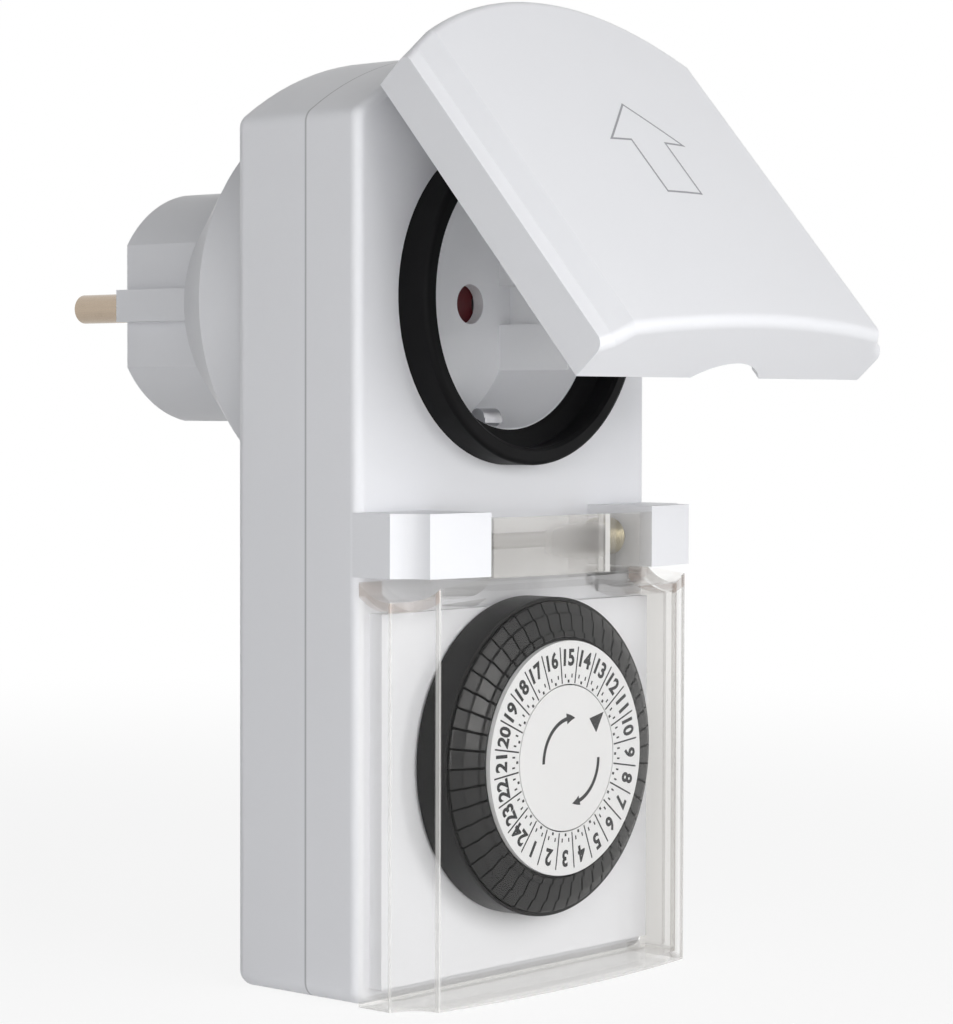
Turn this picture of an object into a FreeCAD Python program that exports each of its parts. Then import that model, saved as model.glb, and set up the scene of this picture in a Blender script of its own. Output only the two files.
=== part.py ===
import FreeCAD, Part
import math
import os
import Sketcher

# Plug-in mechanical timer socket with a hinged socket lid and a clear timer cover.
# Millimetres. Origin: centre of the plug's face. +Y into the wall, +Z up, front faces -Y.

doc = FreeCAD.newDocument("TimerSocket")
sheet = doc.addObject("Spreadsheet::Sheet", "Sizes")

DRIVING = [
    # casing
    ("casing_width", 67.6), ("casing_depth", 25.4), ("below_dial", 34.4),
    ("arch_shoulder", 26.5), ("arch_rise", 11.0), ("wall", 2.2), ("seam_depth", 10.5),
    ("back_round", 2.0), ("front_round", 1.5), ("corner_edge", 2.4), ("run_gap", 0.3),
    # plug
    ("plug_reach", 43.0), ("plug_radius", 19.0), ("plug_entry", 16.4), ("plug_face_wall", 8.0),
    ("plug_bore_radius", 15.5), ("flat_half", 16.2), ("rib_half", 2.6), ("rib_reach", 18.6),
    ("collar_radius", 31.0), ("collar_start", 10.6), ("collar_rise", 16.0),
    ("pin_spacing", 19.0), ("pin_radius", 2.4), ("pin_reach", 19.0),
    ("pin_collar", 2.6), ("pin_collar_reach", 0.3), ("pin_head_radius", 3.5), ("pin_head_depth", 2.4),
    ("rivet_radius", 1.6), ("slip", 0.05),
    ("earth_strip_width", 6.4), ("earth_strip_thick", 1.0), ("earth_recess", 2.2),
    # socket
    ("recess_radius", 19.6), ("recess_depth", 16.4), ("insert_radius", 20.7), ("insert_floor", 2.0),
    ("recess_flat_half", 16.6), ("notch_half", 3.0), ("notch_reach", 19.2), ("entry_radius", 3.15),
    ("seal_outer", 25.1), ("seal_inner", 22.5), ("seal_stand", 5.5), ("seal_seat", 1.0),
    ("sleeve_inner", 2.45), ("sleeve_outer", 3.5), ("sleeve_length", 16.0),
    ("shutter_thick", 1.2), ("shutter_travel", 5.6),
    ("clip_width", 4.0), ("clip_thick", 0.8), ("clip_inset", 4.0),
    ("bar_width", 5.0), ("bar_thick", 0.8), ("bar_behind", 3.8), ("eye_radius", 3.0),
    # lid
    ("lid_open", 41.0), ("hinge_below_apex", 3.1), ("lid_overlap", 27.4), ("lid_apex", 3.2),
    ("lid_shoulder_drop", 6.4), ("lid_gap", 0.3), ("lid_side", 6.4), ("lid_ledge", 1.9),
    ("lid_ledge_rise", 0.9), ("lid_step", 2.3), ("lid_step_rise", 2.6), ("lid_crown", 2.3),
    ("lid_wall", 1.8), ("lid_relief", 3.3), ("lug_radius", 2.2), ("lug_inner", 4.3),
    ("lug_outer", 8.5), ("lid_pin_radius", 1.1), ("finger_width", 16.5), ("finger_rise", 3.2),
    ("lid_rib_outer", 23.6), ("lid_rib_wall", 1.4), ("lid_round", 1.6),
    # hinge blocks and clear cover
    ("block_above", 37.6), ("block_height", 9.4), ("block_set_back", 0.15), ("block_inner", 19.0),
    ("cove_start", 6.4), ("block_cove", 3.25), ("cover_cove", 4.8), ("cover_crown", 2.35),
    ("cover_hinge_back", 6.4), ("cover_pin_radius", 1.2),
    ("cover_front", 14.0), ("cover_wall", 1.3), ("cover_top_below", 9.7), ("scoop_radius", 8.1),
    ("roof_below", 10.2), ("roof_thick", 1.4), ("roof_reach", 4.7),
    ("cover_divider", 10.6), ("spring_wire", 0.35), ("spring_radius", 2.1), ("spring_turns", 5.0),
    # timer face and dial
    ("dial_drop", 69.2), ("face_stand", 2.4), ("face_inset", 2.6), ("face_above", 22.8),
    ("face_margin", 2.4), ("opening_inset", 3.2),
    ("drum_inset", 9.6), ("drum_front", 8.4), ("drum_back", 2.9), ("rim_wall", 0.5),
    ("label_inset", 6.45), ("label_front", 11.6), ("label_thick", 0.8), ("label_width", 6.55),
    ("web_thick", 1.2), ("ring_wall", 1.4), ("axle_radius", 2.0), ("axle_slip", 0.05),
    ("hub_radius", 4.5), ("centre_gap", 0.2), ("centre_thick", 0.6),
    ("tappet_count", 48), ("tappet_gap", 0.35), ("tappet_travel", 2.5), ("tappet_body", 3.6),
    ("leg_inset", 4.2), ("leg_wall", 1.3), ("leg_width", 1.1), ("leg_tip", 0.4),
    # movement
    ("gear_inset", 6.6), ("dial_teeth", 42), ("wheel_teeth", 36), ("pinion_teeth", 10),
    ("gear_start", 4.5), ("gear_thick", 2.0), ("wheel_start", 7.8), ("wheel_thick", 1.4),
    ("wheel_direction", 233.0), ("motor_direction", 5.6), ("idler_axle_radius", 1.0),
    ("plate_start", 10.5), ("plate_thick", 1.5), ("plate_left", 24.0), ("plate_right", 22.5),
    ("plate_up", 21.5), ("plate_down", 29.6), ("pillar_radius", 2.6), ("pillar_hole", 1.1),
    ("motor_radius", 15.0), ("motor_depth", 9.6), ("motor_wall", 0.8), ("coil_outer", 13.4),
    ("coil_inner", 8.6), ("rotor_radius", 7.6), ("rotor_shaft", 0.8), ("output_shaft", 0.9),
    # switch
    ("lever_clear", 1.3), ("lever_pivot_depth", 8.0), ("lever_thick", 2.4), ("lever_nose", 3.3),
    ("blade_clear", 2.8), ("blade_thick", 0.4), ("blade_top", 19.2), ("contact_clear", 5.0),
    # screws
    ("screw_inset", 5.6), ("screw_up", 21.0), ("screw_rise", 5.8), ("boss_radius", 3.8),
    ("screw_radius", 1.4), ("screw_hole", 1.6), ("screw_head_radius", 2.8), ("screw_head", 1.8),
]

FOLLOWING = [
    ("casing_drop", "=dial_drop + below_dial"),
    ("screw_down", "=casing_drop - screw_rise"),
    ("face_top_drop", "=dial_drop - face_above"),
    ("face_bottom_drop", "=casing_drop - face_margin"),
    ("block_drop", "=dial_drop - block_above"),
    ("cover_top_drop", "=block_drop + cover_top_below"),
    ("roof_drop", "=block_drop + roof_below"),
    ("live_bar_depth", "=recess_depth + insert_floor + bar_behind"),
    ("hinge_lift", "=arch_shoulder + arch_rise - hinge_below_apex"),
    ("lid_below", "=hinge_lift + lid_overlap"),
    ("face_half", "=casing_width / 2 - face_inset"),
    ("screw_x", "=casing_width / 2 - screw_inset"),
    ("drum_radius", "=casing_width / 2 - drum_inset"),
    ("tooth_module", "=(drum_radius - gear_inset) * 2 / (dial_teeth + 2)"),
    ("face_opening", "=drum_radius - opening_inset"),
    ("label_radius", "=drum_radius - label_inset"),
    ("label_inner", "=label_radius - label_width"),
    ("centre_radius", "=label_inner - centre_gap"),
    ("leg_outer", "=drum_radius - leg_inset"),
    ("leg_inner", "=leg_outer - leg_wall"),
    ("lever_pivot_x", "=drum_radius + lever_clear"),
    ("blade_x", "=drum_radius + blade_clear"),
    ("contact_x", "=drum_radius + contact_clear"),
]


class Size:
    """A length with its value and the spreadsheet expression that gives it."""

    def __init__(self, value, text):
        self.value = float(value)
        self.text = text

    def __add__(self, other):
        other = size(other)
        return Size(self.value + other.value, f"({self.text} + {other.text})")

    def __sub__(self, other):
        other = size(other)
        return Size(self.value - other.value, f"({self.text} - {other.text})")

    def __mul__(self, other):
        other = size(other)
        return Size(self.value * other.value, f"({self.text} * {other.text})")

    def __truediv__(self, other):
        other = size(other)
        return Size(self.value / other.value, f"({self.text} / {other.text})")

    def __neg__(self):
        return Size(-self.value, f"(0 - {self.text})")

    def __radd__(self, other):
        return size(other) + self

    def __rsub__(self, other):
        return size(other) - self

    def __rmul__(self, other):
        return size(other) * self


def size(thing):
    """Wrap a bare number so that it can stand in an expression."""
    return thing if isinstance(thing, Size) else Size(thing, repr(float(thing)))


def root(thing):
    return Size(math.sqrt(thing.value), f"sqrt({thing.text})")


def cosine(degrees):
    return Size(math.cos(math.radians(degrees.value)), f"cos({degrees.text})")


def sine(degrees):
    return Size(math.sin(math.radians(degrees.value)), f"sin({degrees.text})")


for row, (alias, value) in enumerate(DRIVING + FOLLOWING, start=1):
    sheet.set(f"A{row}", alias)
    sheet.set(f"B{row}", str(value))
    sheet.setAlias(f"B{row}", alias)
doc.recompute()


def get(alias):
    return Size(sheet.get(alias), f"Sizes.{alias}")


nodes = {}


def keep(name, thing):
    """Name a finished sub-part: its label is its file name."""
    thing.Label = name
    nodes[name] = thing
    return thing


def bind(thing, prop, amount):
    thing.setExpression(prop, size(amount).text)


def place(thing, x, y, z, axis=None, degrees=0.0):
    """Place an object at a point, turned about an axis, with the point bound to the sheet."""
    turn = FreeCAD.Rotation(axis, degrees) if axis else FreeCAD.Rotation()
    base = FreeCAD.Vector(size(x).value, size(y).value, size(z).value)
    thing.Placement = FreeCAD.Placement(base, turn)
    for letter, amount in (("x", x), ("y", y), ("z", z)):
        bind(thing, f"Placement.Base.{letter}", amount)
    return thing


X_AXIS = FreeCAD.Vector(1, 0, 0)
Y_AXIS = FreeCAD.Vector(0, 1, 0)
Z_AXIS = FreeCAD.Vector(0, 0, 1)


def box(name, x_range, y_range, z_range):
    thing = doc.addObject("Part::Box", name)
    spans = (("Length", x_range), ("Width", y_range), ("Height", z_range))
    for prop, (low, high) in spans:
        span = size(high) - size(low)
        setattr(thing, prop, span.value)
        bind(thing, prop, span)
    return place(thing, x_range[0], y_range[0], z_range[0])


def rod(name, radius, x, y, z, length, along="y"):
    """A cylinder from a point, along +Y, +X or +Z."""
    thing = doc.addObject("Part::Cylinder", name)
    thing.Radius = size(radius).value
    thing.Height = size(length).value
    bind(thing, "Radius", radius)
    bind(thing, "Height", length)
    turns = {"y": (X_AXIS, -90.0), "x": (Y_AXIS, 90.0), "z": (None, 0.0)}
    return place(thing, x, y, z, *turns[along])


def cone(name, start_radius, end_radius, x, y, z, length):
    thing = doc.addObject("Part::Cone", name)
    thing.Radius1 = size(start_radius).value
    thing.Radius2 = size(end_radius).value
    thing.Height = size(length).value
    bind(thing, "Radius1", start_radius)
    bind(thing, "Radius2", end_radius)
    bind(thing, "Height", length)
    return place(thing, x, y, z, X_AXIS, -90.0)


def fuse(name, *things):
    joined = doc.addObject("Part::MultiFuse", name)
    joined.Shapes = list(things)
    joined.Refine = True
    return joined


def cut(name, base, *tools):
    tool = tools[0] if len(tools) == 1 else fuse(name + "_tools", *tools)
    remains = doc.addObject("Part::Cut", name)
    remains.Base = base
    remains.Tool = tool
    remains.Refine = True
    return remains


def common(name, *things):
    shared = doc.addObject("Part::MultiCommon", name)
    shared.Shapes = list(things)
    shared.Refine = True
    return shared


def group(name, *things):
    several = doc.addObject("Part::Compound", name)
    several.Links = list(things)
    return several


def origin_plane(body, role):
    for feature in body.Origin.OriginFeatures:
        if feature.Role == role:
            return feature
    raise ValueError(role)


def line_or_arc(start, end, radius, left):
    """A segment between two points; with a radius, an arc that bulges to the left or right."""
    if radius is None:
        return Part.LineSegment(start, end), 1, 2
    chord = end - start
    middle = (start + end) * 0.5
    rise = math.sqrt(max(radius ** 2 - (chord.Length / 2) ** 2, 0.0))
    normal = FreeCAD.Vector(-chord.y, chord.x, 0).normalize()
    centre = middle - normal * rise if left else middle + normal * rise
    first = math.atan2(start.y - centre.y, start.x - centre.x)
    last = math.atan2(end.y - centre.y, end.x - centre.x)
    circle = Part.Circle(centre, Z_AXIS, radius)
    if left:
        return Part.ArcOfCircle(circle, last, first), 2, 1
    return Part.ArcOfCircle(circle, first, last), 1, 2


def draw(sketch, path):
    """Draw a closed outline; every corner and every arc radius is bound to the sheet."""
    corners = [(size(step[0]), size(step[1])) for step in path]
    ends = []
    for index, step in enumerate(path):
        x, y = corners[index]
        following = corners[(index + 1) % len(path)]
        start = FreeCAD.Vector(x.value, y.value, 0)
        end = FreeCAD.Vector(following[0].value, following[1].value, 0)
        radius = size(step[2]) if len(step) > 2 else None
        left = step[3] if len(step) > 3 else True
        curve, near, far = line_or_arc(start, end, radius.value if radius else None, left)
        number = sketch.addGeometry(curve, False)
        ends.append((number, near, far))
        for kind, amount in (("DistanceX", x), ("DistanceY", y)):
            which = sketch.addConstraint(Sketcher.Constraint(kind, number, near, amount.value))
            sketch.setExpression(f"Constraints[{which}]", amount.text)
        if radius:
            which = sketch.addConstraint(Sketcher.Constraint("Radius", number, radius.value))
            sketch.setExpression(f"Constraints[{which}]", radius.text)
    for index, (number, near, far) in enumerate(ends):
        after = ends[(index + 1) % len(ends)]
        sketch.addConstraint(Sketcher.Constraint("Coincident", number, far, after[0], after[1]))
    return sketch


def body_sketch(body, name, role, offset):
    """A sketch on a body's own origin plane, moved along the plane's normal."""
    sketch = body.newObject("Sketcher::SketchObject", name)
    sketch.AttachmentSupport = [(origin_plane(body, role), "")]
    sketch.MapMode = "FlatFace"
    sketch.AttachmentOffset = FreeCAD.Placement(FreeCAD.Vector(0, 0, size(offset).value), FreeCAD.Rotation())
    bind(sketch, "AttachmentOffset.Base.z", offset)
    return sketch


def pad(body, sketch, length, name):
    feature = body.newObject("PartDesign::Pad", name)
    feature.Profile = sketch
    feature.Length = size(length).value
    bind(feature, "Length", length)
    sketch.Visibility = False
    return feature


def pocket(body, sketch, length, name, reversed_way=False):
    feature = body.newObject("PartDesign::Pocket", name)
    feature.Profile = sketch
    feature.Length = size(length).value
    feature.Reversed = reversed_way
    bind(feature, "Length", length)
    return feature


def turned(name, outline, x, z):
    """A body turned about an axis along Y; the outline is (radius, y) pairs."""
    body = doc.addObject("PartDesign::Body", name)
    sketch = draw(body_sketch(body, name + "_profile", "XY_Plane", 0), outline)
    feature = body.newObject("PartDesign::Revolution", name + "_turn")
    feature.Profile = sketch
    feature.ReferenceAxis = (sketch, ["V_Axis"])
    feature.Angle = 360.0
    place(body, x, 0, z)
    return body


def edges_where(feature, test):
    """Names of the edges whose ends, middle and length pass a test."""
    doc.recompute()
    return [f"Edge{number}" for number, edge in enumerate(feature.Shape.Edges, start=1) if test(edge)]


def round_edges(body, feature, test, radius, name):
    names = edges_where(feature, test)
    rounding = body.newObject("PartDesign::Fillet", name)
    rounding.Base = (feature, names)
    rounding.Radius = size(radius).value
    bind(rounding, "Radius", radius)
    return rounding


def at_y(value):
    def test(edge):
        bounds = edge.BoundBox
        return abs(bounds.YMin - value) < 1e-4 and abs(bounds.YMax - value) < 1e-4
    return test


def along_y(edge):
    bounds = edge.BoundBox
    return bounds.XLength < 1e-4 and bounds.ZLength < 1e-4


# Main planes along Y and the casing's half width
back = -get("plug_reach")
front = back - get("casing_depth")
seam = front + get("seam_depth")
half = get("casing_width") / 2
bottom = -get("casing_drop")
wall = get("wall")
gap = get("run_gap")
dial_z = -get("dial_drop")
pin_x = get("pin_spacing") / 2


def depth(amount):
    """The plane this far behind the casing's front face."""
    return front + amount


def arch_radius(half_width, rise):
    return (half_width * half_width + rise * rise) / (2 * rise)


def arched(inset, top_z=None, low_z=None):
    """The casing's outline in X and Z: straight sides under a low arch, drawn in by an inset."""
    outer = arch_radius(half, get("arch_rise"))
    inner = outer - inset
    side = half - inset
    apex = get("arch_shoulder") + get("arch_rise") - inset
    shoulder = apex - inner + root(inner * inner - side * side)
    low = bottom + inset
    return [(-side, low), (side, low), (side, shoulder, inner, False), (-side, shoulder)]


# Casing, rear shell, and the plug body welded to its collar
def rear_casing():
    body = doc.addObject("PartDesign::Body", "rear_casing_body")
    outline = draw(body_sketch(body, "rear_outline", "XZ_Plane", -back), arched(size(0)))
    shell = pad(body, outline, seam * -1 + back, "rear_block")
    corners = round_edges(body, shell, along_y, get("corner_edge"), "rear_corners")
    rounding = round_edges(body, corners, at_y(back.value), get("back_round"), "rear_rounding")
    hollow = draw(body_sketch(body, "rear_hollow", "XZ_Plane", -(back - wall)), arched(wall))
    emptied = pocket(body, hollow, get("casing_depth"), "rear_cavity", True)
    body.Tip = emptied

    entry = -get("plug_entry")
    cone_end = entry - get("collar_rise")
    collar = rod("collar_drum", get("collar_radius"), 0, back - wall / 2, 0, cone_end - back + wall / 2)
    slope = cone("collar_cone", get("collar_radius"), get("plug_radius"), 0, cone_end, 0, get("collar_rise"))
    nose = rod("plug_nose", get("plug_radius"), 0, entry, 0, get("plug_entry"))
    plug = fuse("plug_mass", collar, slope, nose)
    flats = []
    for side in (-1, 1):
        for level in (-1, 1):
            flats.append(mirrored_box(f"flat_{side}_{level}", side, get("flat_half"), get("plug_radius") + 1,
                                      (entry, 1), level, get("rib_half"), get("plug_radius")))
        flats.append(mirrored_box(f"rib_end_{side}", side, get("rib_reach"), get("plug_radius") + 1,
                                  (entry, 1), 0, get("rib_half"), get("rib_half")))
    strip = get("earth_strip_width") / 2 + 0.1
    slots = []
    for level in (-1, 1):
        outer = (get("plug_radius") - get("earth_recess"), get("plug_radius") + 1)
        slots.append(stacked_box(f"earth_recess_{level}", (-strip, strip), (entry, 1), level, *outer))
        inner = (get("plug_bore_radius") - 1, get("plug_radius") - get("earth_recess") + 0.1)
        slot_back = entry + get("earth_strip_thick") + 0.2
        slots.append(stacked_box(f"earth_slot_{level}", (-strip, strip), (entry, slot_back), level, *inner))
    bore = rod("plug_bore", get("plug_bore_radius"), 0, back - wall - 1, 0,
               get("plug_reach") + wall + 1 - get("plug_face_wall"))
    holes = [rod(f"pin_hole_{side}", get("pin_collar") + get("slip"), pin_x * side, -get("plug_face_wall") - 1, 0,
                 get("plug_face_wall") + 2) for side in (-1, 1)]
    bosses = []
    bores = []
    for index, (x, z) in enumerate(screw_places()):
        bosses.append(rod(f"rear_boss_{index}", get("boss_radius"), x, seam, z, back - wall / 2 - seam))
        bores.append(rod(f"rear_screw_hole_{index}", get("screw_hole"), x, seam - 1, z, get("casing_depth")))
        bores.append(rod(f"rear_head_bore_{index}", get("screw_head_radius") + 0.2, x,
                         back - get("screw_head") - 0.4, z, get("screw_head") + 1))
    solid = cut("rear_solid", fuse("rear_mass", body, plug, *bosses), bore, *holes, *bores, *flats, *slots)
    seat = cut("rear_seat_band", *seal_band("rear_seal_seat"))
    limit = box("plug_body_limits", (-half, half), (entry, 2), (-half, half))
    keep("plug_body", common("plug_body_shape", solid, limit))
    return keep("rear_casing", cut("rear_casing_shape", solid, seat, limit))


def mirrored_box(name, side, near, far, y_range, level, inner, outer):
    """A box on one side of the plug, above, below or across its middle."""
    near, far = size(near), size(far)
    x_range = (near, far) if side > 0 else (-far, -near)
    if level > 0:
        z_range = (inner, outer)
    elif level < 0:
        z_range = (-outer, -inner)
    else:
        z_range = (-inner - 0.1, inner + 0.1)
    return box(name, x_range, y_range, z_range)


def stacked_box(name, x_range, y_range, level, near, far):
    """A box above or below the plug's axis."""
    z_range = (near, far) if level > 0 else (-far, -near)
    return box(name, x_range, y_range, z_range)


def screw_places():
    return [(get("screw_x") * side, height) for height in (get("screw_up"), -get("screw_down")) for side in (-1, 1)]


def seal_band(name):
    """A thin loop on the seam, in the inner half of the wall: the outer and inner prisms."""
    thick = wall / 2
    prisms = []
    for part, inset in (("outer", thick), ("inner", wall + 0.5)):
        body = doc.addObject("PartDesign::Body", f"{name}_{part}")
        sketch = draw(body_sketch(body, f"{name}_{part}_line", "XZ_Plane", -(seam + 1)), arched(inset))
        body.Tip = pad(body, sketch, 1, f"{name}_{part}_pad")
        prisms.append(body)
    return prisms


def casing_seal():
    thick = wall / 2
    prisms = []
    for part, inset in (("outer", thick), ("inner", wall)):
        body = doc.addObject("PartDesign::Body", f"seal_{part}")
        sketch = draw(body_sketch(body, f"seal_{part}_line", "XZ_Plane", -(seam + 1)), arched(inset))
        body.Tip = pad(body, sketch, 1, f"seal_{part}_pad")
        prisms.append(body)
    notches = [rod(f"seal_notch_{index}", get("boss_radius") + 0.1, x, seam - 1, z, 3)
               for index, (x, z) in enumerate(screw_places())]
    return keep("casing_seal", cut("casing_seal_shape", prisms[0], prisms[1], *notches))


# Casing, front shell with the timer face, the cover's hinge blocks and the lid's knuckle
def front_casing():
    body = doc.addObject("PartDesign::Body", "front_casing_body")
    outline = draw(body_sketch(body, "front_outline", "XZ_Plane", -seam), arched(size(0)))
    shell = pad(body, outline, get("seam_depth"), "front_block")
    corners = round_edges(body, shell, along_y, get("corner_edge"), "front_corners")
    rounding = round_edges(body, corners, at_y(front.value), get("front_round"), "front_rounding")
    hollow = draw(body_sketch(body, "front_hollow", "XZ_Plane", -seam), arched(wall))
    emptied = pocket(body, hollow, get("seam_depth") - wall, "front_cavity", False)
    emptied.Reversed = True
    body.Tip = emptied

    top = -get("block_drop")
    low = top - get("block_height")
    blocks = []
    for side in (-1, 1):
        block = doc.addObject("PartDesign::Body", f"hinge_block_{side}")
        inner, outer = get("block_inner"), half
        edge, nose, ledge, radius = cove(get("block_cove"), size(0), get("block_set_back"))
        crown = crown_radius() - get("block_set_back")
        near = crown_y(inner, get("block_set_back"))
        if side > 0:
            path = [(inner, depth(1)), (inner, near, crown, False), (edge, nose, radius, True), (outer, ledge),
                    (outer, depth(1))]
        else:
            path = [(-inner, depth(1)), (-outer, depth(1)), (-outer, ledge, radius, True),
                    (-edge, nose, crown, False), (-inner, near)]
        sketch = draw(body_sketch(block, f"hinge_block_line_{side}", "XY_Plane", low), path)
        block.Tip = pad(block, sketch, get("block_height"), f"hinge_block_pad_{side}")
        blocks.append(block)

    face = box("timer_face", (-get("face_half"), get("face_half")), (depth(-get("face_stand")), depth(0.5)),
               (-get("face_bottom_drop"), -get("face_top_drop")))
    inset = wall
    face_hollow = box("timer_face_hollow", (-get("face_half") + inset, get("face_half") - inset),
                      (depth(-get("face_stand") + wall), depth(wall + 0.5)),
                      (-get("face_bottom_drop") + inset, -get("face_top_drop") - inset))
    knuckle = rod("lid_knuckle", get("lug_radius"), -get("lug_inner") + gap, front, get("hinge_lift"),
                  (get("lug_inner") - gap) * 2, "x")
    backing = box("knuckle_backing", (-get("lug_outer") - 1.5, get("lug_outer") + 1.5), (depth(1), depth(wall + 3)),
                  (get("hinge_lift") - 4, get("arch_shoulder") + get("arch_rise") - wall - 0.4))
    bosses = []
    holes = []
    for index, (x, z) in enumerate(screw_places()):
        bosses.append(rod(f"front_boss_{index}", get("boss_radius"), x, depth(wall / 2), z, seam - depth(wall / 2)))
        holes.append(rod(f"front_pilot_{index}", get("screw_radius") + get("slip"), x, depth(wall + 0.6), z,
                         get("seam_depth")))
    for index, (x, z) in enumerate(pillar_places()):
        bosses.append(rod(f"pillar_{index}", get("pillar_radius"), x, depth(-get("face_stand") + wall / 2), z,
                          depth(get("plate_start")) - depth(-get("face_stand") + wall / 2)))
        holes.append(rod(f"pillar_pilot_{index}", get("pillar_hole") + get("slip"), x, depth(wall), z,
                         get("plate_start")))
    tube = rod("recess_tube", get("insert_radius") + 1.6, 0, depth(wall / 2), 0, 5)
    holes.append(rod("recess_hole", get("insert_radius") + get("slip"), 0, depth(-1), 0, 12))
    groove = cut("seal_groove", rod("seal_groove_outer", get("seal_outer") + get("slip"), 0, depth(-1), 0,
                                    get("seal_seat") + 1),
                 rod("seal_groove_inner", get("seal_inner") - get("slip"), 0, depth(-2), 0, 6))
    holes.append(groove)
    holes.append(rod("dial_hole", get("face_opening"), 0, depth(-get("face_stand") - 1), dial_z, wall + 4))
    slots = []
    for side in (-1, 1):
        near, far = get("lug_inner") - gap / 2, get("lug_outer") + gap / 2
        start = near if side > 0 else -far
        slots.append(rod(f"lug_slot_{side}", get("lug_radius") + gap, start, front, get("hinge_lift"), far - near, "x"))
        spread = (near, far) if side > 0 else (-far, -near)
        slots.append(box(f"lug_window_{side}", spread, (depth(-1), depth(get("lug_radius") + gap)),
                         (get("hinge_lift"), get("arch_shoulder") + get("arch_rise") + 1)))
    slots.append(rod("lid_pin_bore", get("lid_pin_radius") + get("slip"), -get("lug_outer") - 1.2, front,
                     get("hinge_lift"), (get("lug_outer") + 1.2) * 2, "x"))
    hinge_y = depth(-get("cover_hinge_back"))
    hinge_z = cover_hinge_z()
    slots.append(rod("cover_pin_bore", get("cover_pin_radius") + get("slip"), -get("block_inner") - 6, hinge_y,
                     hinge_z, (get("block_inner") + 6) * 2, "x"))
    mass = fuse("front_mass", cut("front_emptied", fuse("front_raised", body, face), face_hollow), *blocks, *bosses,
                knuckle, backing, tube)
    return keep("front_casing", cut("front_casing_shape", mass, *holes, *slots))


def crown_radius():
    """The radius of the shared crown of the blocks and the cover, from its rise over the cover's flat width."""
    wide = half - get("cover_cove")
    return (wide * wide + get("cover_crown") * get("cover_crown")) / (get("cover_crown") * 2)


def crown_y(x, inset):
    """Where the crown, moved in by an inset, stands at a distance from the middle."""
    radius = crown_radius() - inset
    return depth(-get("cover_front")) + crown_radius() - root(radius * radius - x * x)


def cove(inward, inset, set_back):
    """The hollow corner: its front end, where it meets the side, and its radius; it ends square to the crown."""
    front_edge = half - inward
    start, end = depth(-get("cove_start")), crown_y(front_edge, set_back)
    run = start - end
    radius = (inward * inward + run * run) / (inward * 2)
    wide = radius + inset
    gap_x = radius - inward + inset
    ledge = end + root(wide * wide - gap_x * gap_x)
    edge = front_edge - inset * 0.93
    return edge, crown_y(edge, inset + set_back), ledge, wide


def cover_hinge_z():
    return -get("block_drop") - get("block_height") / 2


def pillar_places():
    return [(size(-21), dial_z + 18.2), (size(19.5), dial_z + 18.2), (size(20), dial_z - 27.3)]


# Plug pins and earth contacts
def plug_pin(name, side):
    inner = -get("plug_face_wall")
    start = get("pin_collar_reach")
    collar = rod(f"{name}_collar", get("pin_collar"), pin_x * side, inner, 0, get("plug_face_wall") + start)
    shank = rod(f"{name}_shank", get("pin_radius"), pin_x * side, start, 0, get("pin_reach") - 1.2 - start)
    tip = cone(f"{name}_tip", get("pin_radius"), get("pin_radius") - 1.2, pin_x * side, get("pin_reach") - 1.2, 0, 1.2)
    head = rod(f"{name}_head", get("pin_head_radius"), pin_x * side, inner - get("pin_head_depth"), 0,
               get("pin_head_depth"))
    stub = rod(f"{name}_stub", get("rivet_radius"), pin_x * side, inner - get("pin_head_depth") - 1.4, 0, 1.4)
    return keep(name, fuse(f"{name}_shape", collar, shank, tip, head, stub))


def plug_earth_contact():
    """A strap across the plug with a leg along its top and one along its bottom."""
    half_width = get("earth_strip_width") / 2
    entry = -get("plug_entry")
    thick = get("earth_strip_thick")
    reach = get("plug_radius") - get("earth_recess") + thick
    legs = [stacked_box(f"earth_leg_{level}", (-half_width, half_width), (entry + 0.1, -1.0), level,
                        reach - thick, reach) for level in (-1, 1)]
    bar = box("earth_bar", (-half_width, half_width), (entry + 0.1, entry + 0.1 + thick), (-reach, reach))
    return keep("plug_earth_contact", fuse("plug_earth_shape", bar, *legs))


# Socket: insert, seal, contacts, earth bow and child shutter
def socket_insert():
    floor = depth(get("recess_depth"))
    cup = rod("insert_cup", get("insert_radius"), 0, front, 0, get("recess_depth") + get("insert_floor"))
    open_round = rod("insert_hollow", get("recess_radius"), 0, depth(-1), 0, get("recess_depth") + 1)
    flats = []
    for side in (-1, 1):
        near, far = get("recess_flat_half"), get("recess_radius") + 1
        flats.append(mirrored_box(f"recess_flat_{side}", side, near, far, (depth(2.2), floor), 0, 17, 17))
    notches = [mirrored_box(f"recess_notch_{side}", side, get("recess_flat_half") - 1, get("notch_reach"),
                            (depth(-1), floor), 0, get("notch_half"), get("notch_half")) for side in (-1, 1)]
    hollow = fuse("insert_space", cut("insert_round_space", open_round, *flats), *notches)
    holes = [rod(f"entry_{side}", get("entry_radius"), pin_x * side, depth(get("recess_depth") - 1), 0, 6)
             for side in (-1, 1)]
    slots = []
    for level in (-1, 1):
        near = get("recess_radius") - get("clip_inset") + 2.2
        slots.append(stacked_box(f"clip_slot_{level}", (-get("clip_width") / 2 - 0.1, get("clip_width") / 2 + 0.1),
                                 (depth(2), depth(get("recess_depth") + 4)), level, near, near + get("clip_thick") + 0.2))
    return keep("socket_insert", cut("socket_insert_shape", cup, hollow, *holes, *slots))


def socket_seal_ring():
    outer, inner = get("seal_outer"), get("seal_inner")
    lip = depth(-get("seal_stand"))
    seat = depth(get("seal_seat"))
    path = [(inner, seat), (inner, lip + 0.5), (inner + 0.5, lip), (outer - 0.8, lip, 0.8, False),
            (outer, lip + 0.8), (outer, seat)]
    return keep("socket_seal_ring", turned("socket_seal_body", path, 0, 0))


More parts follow.
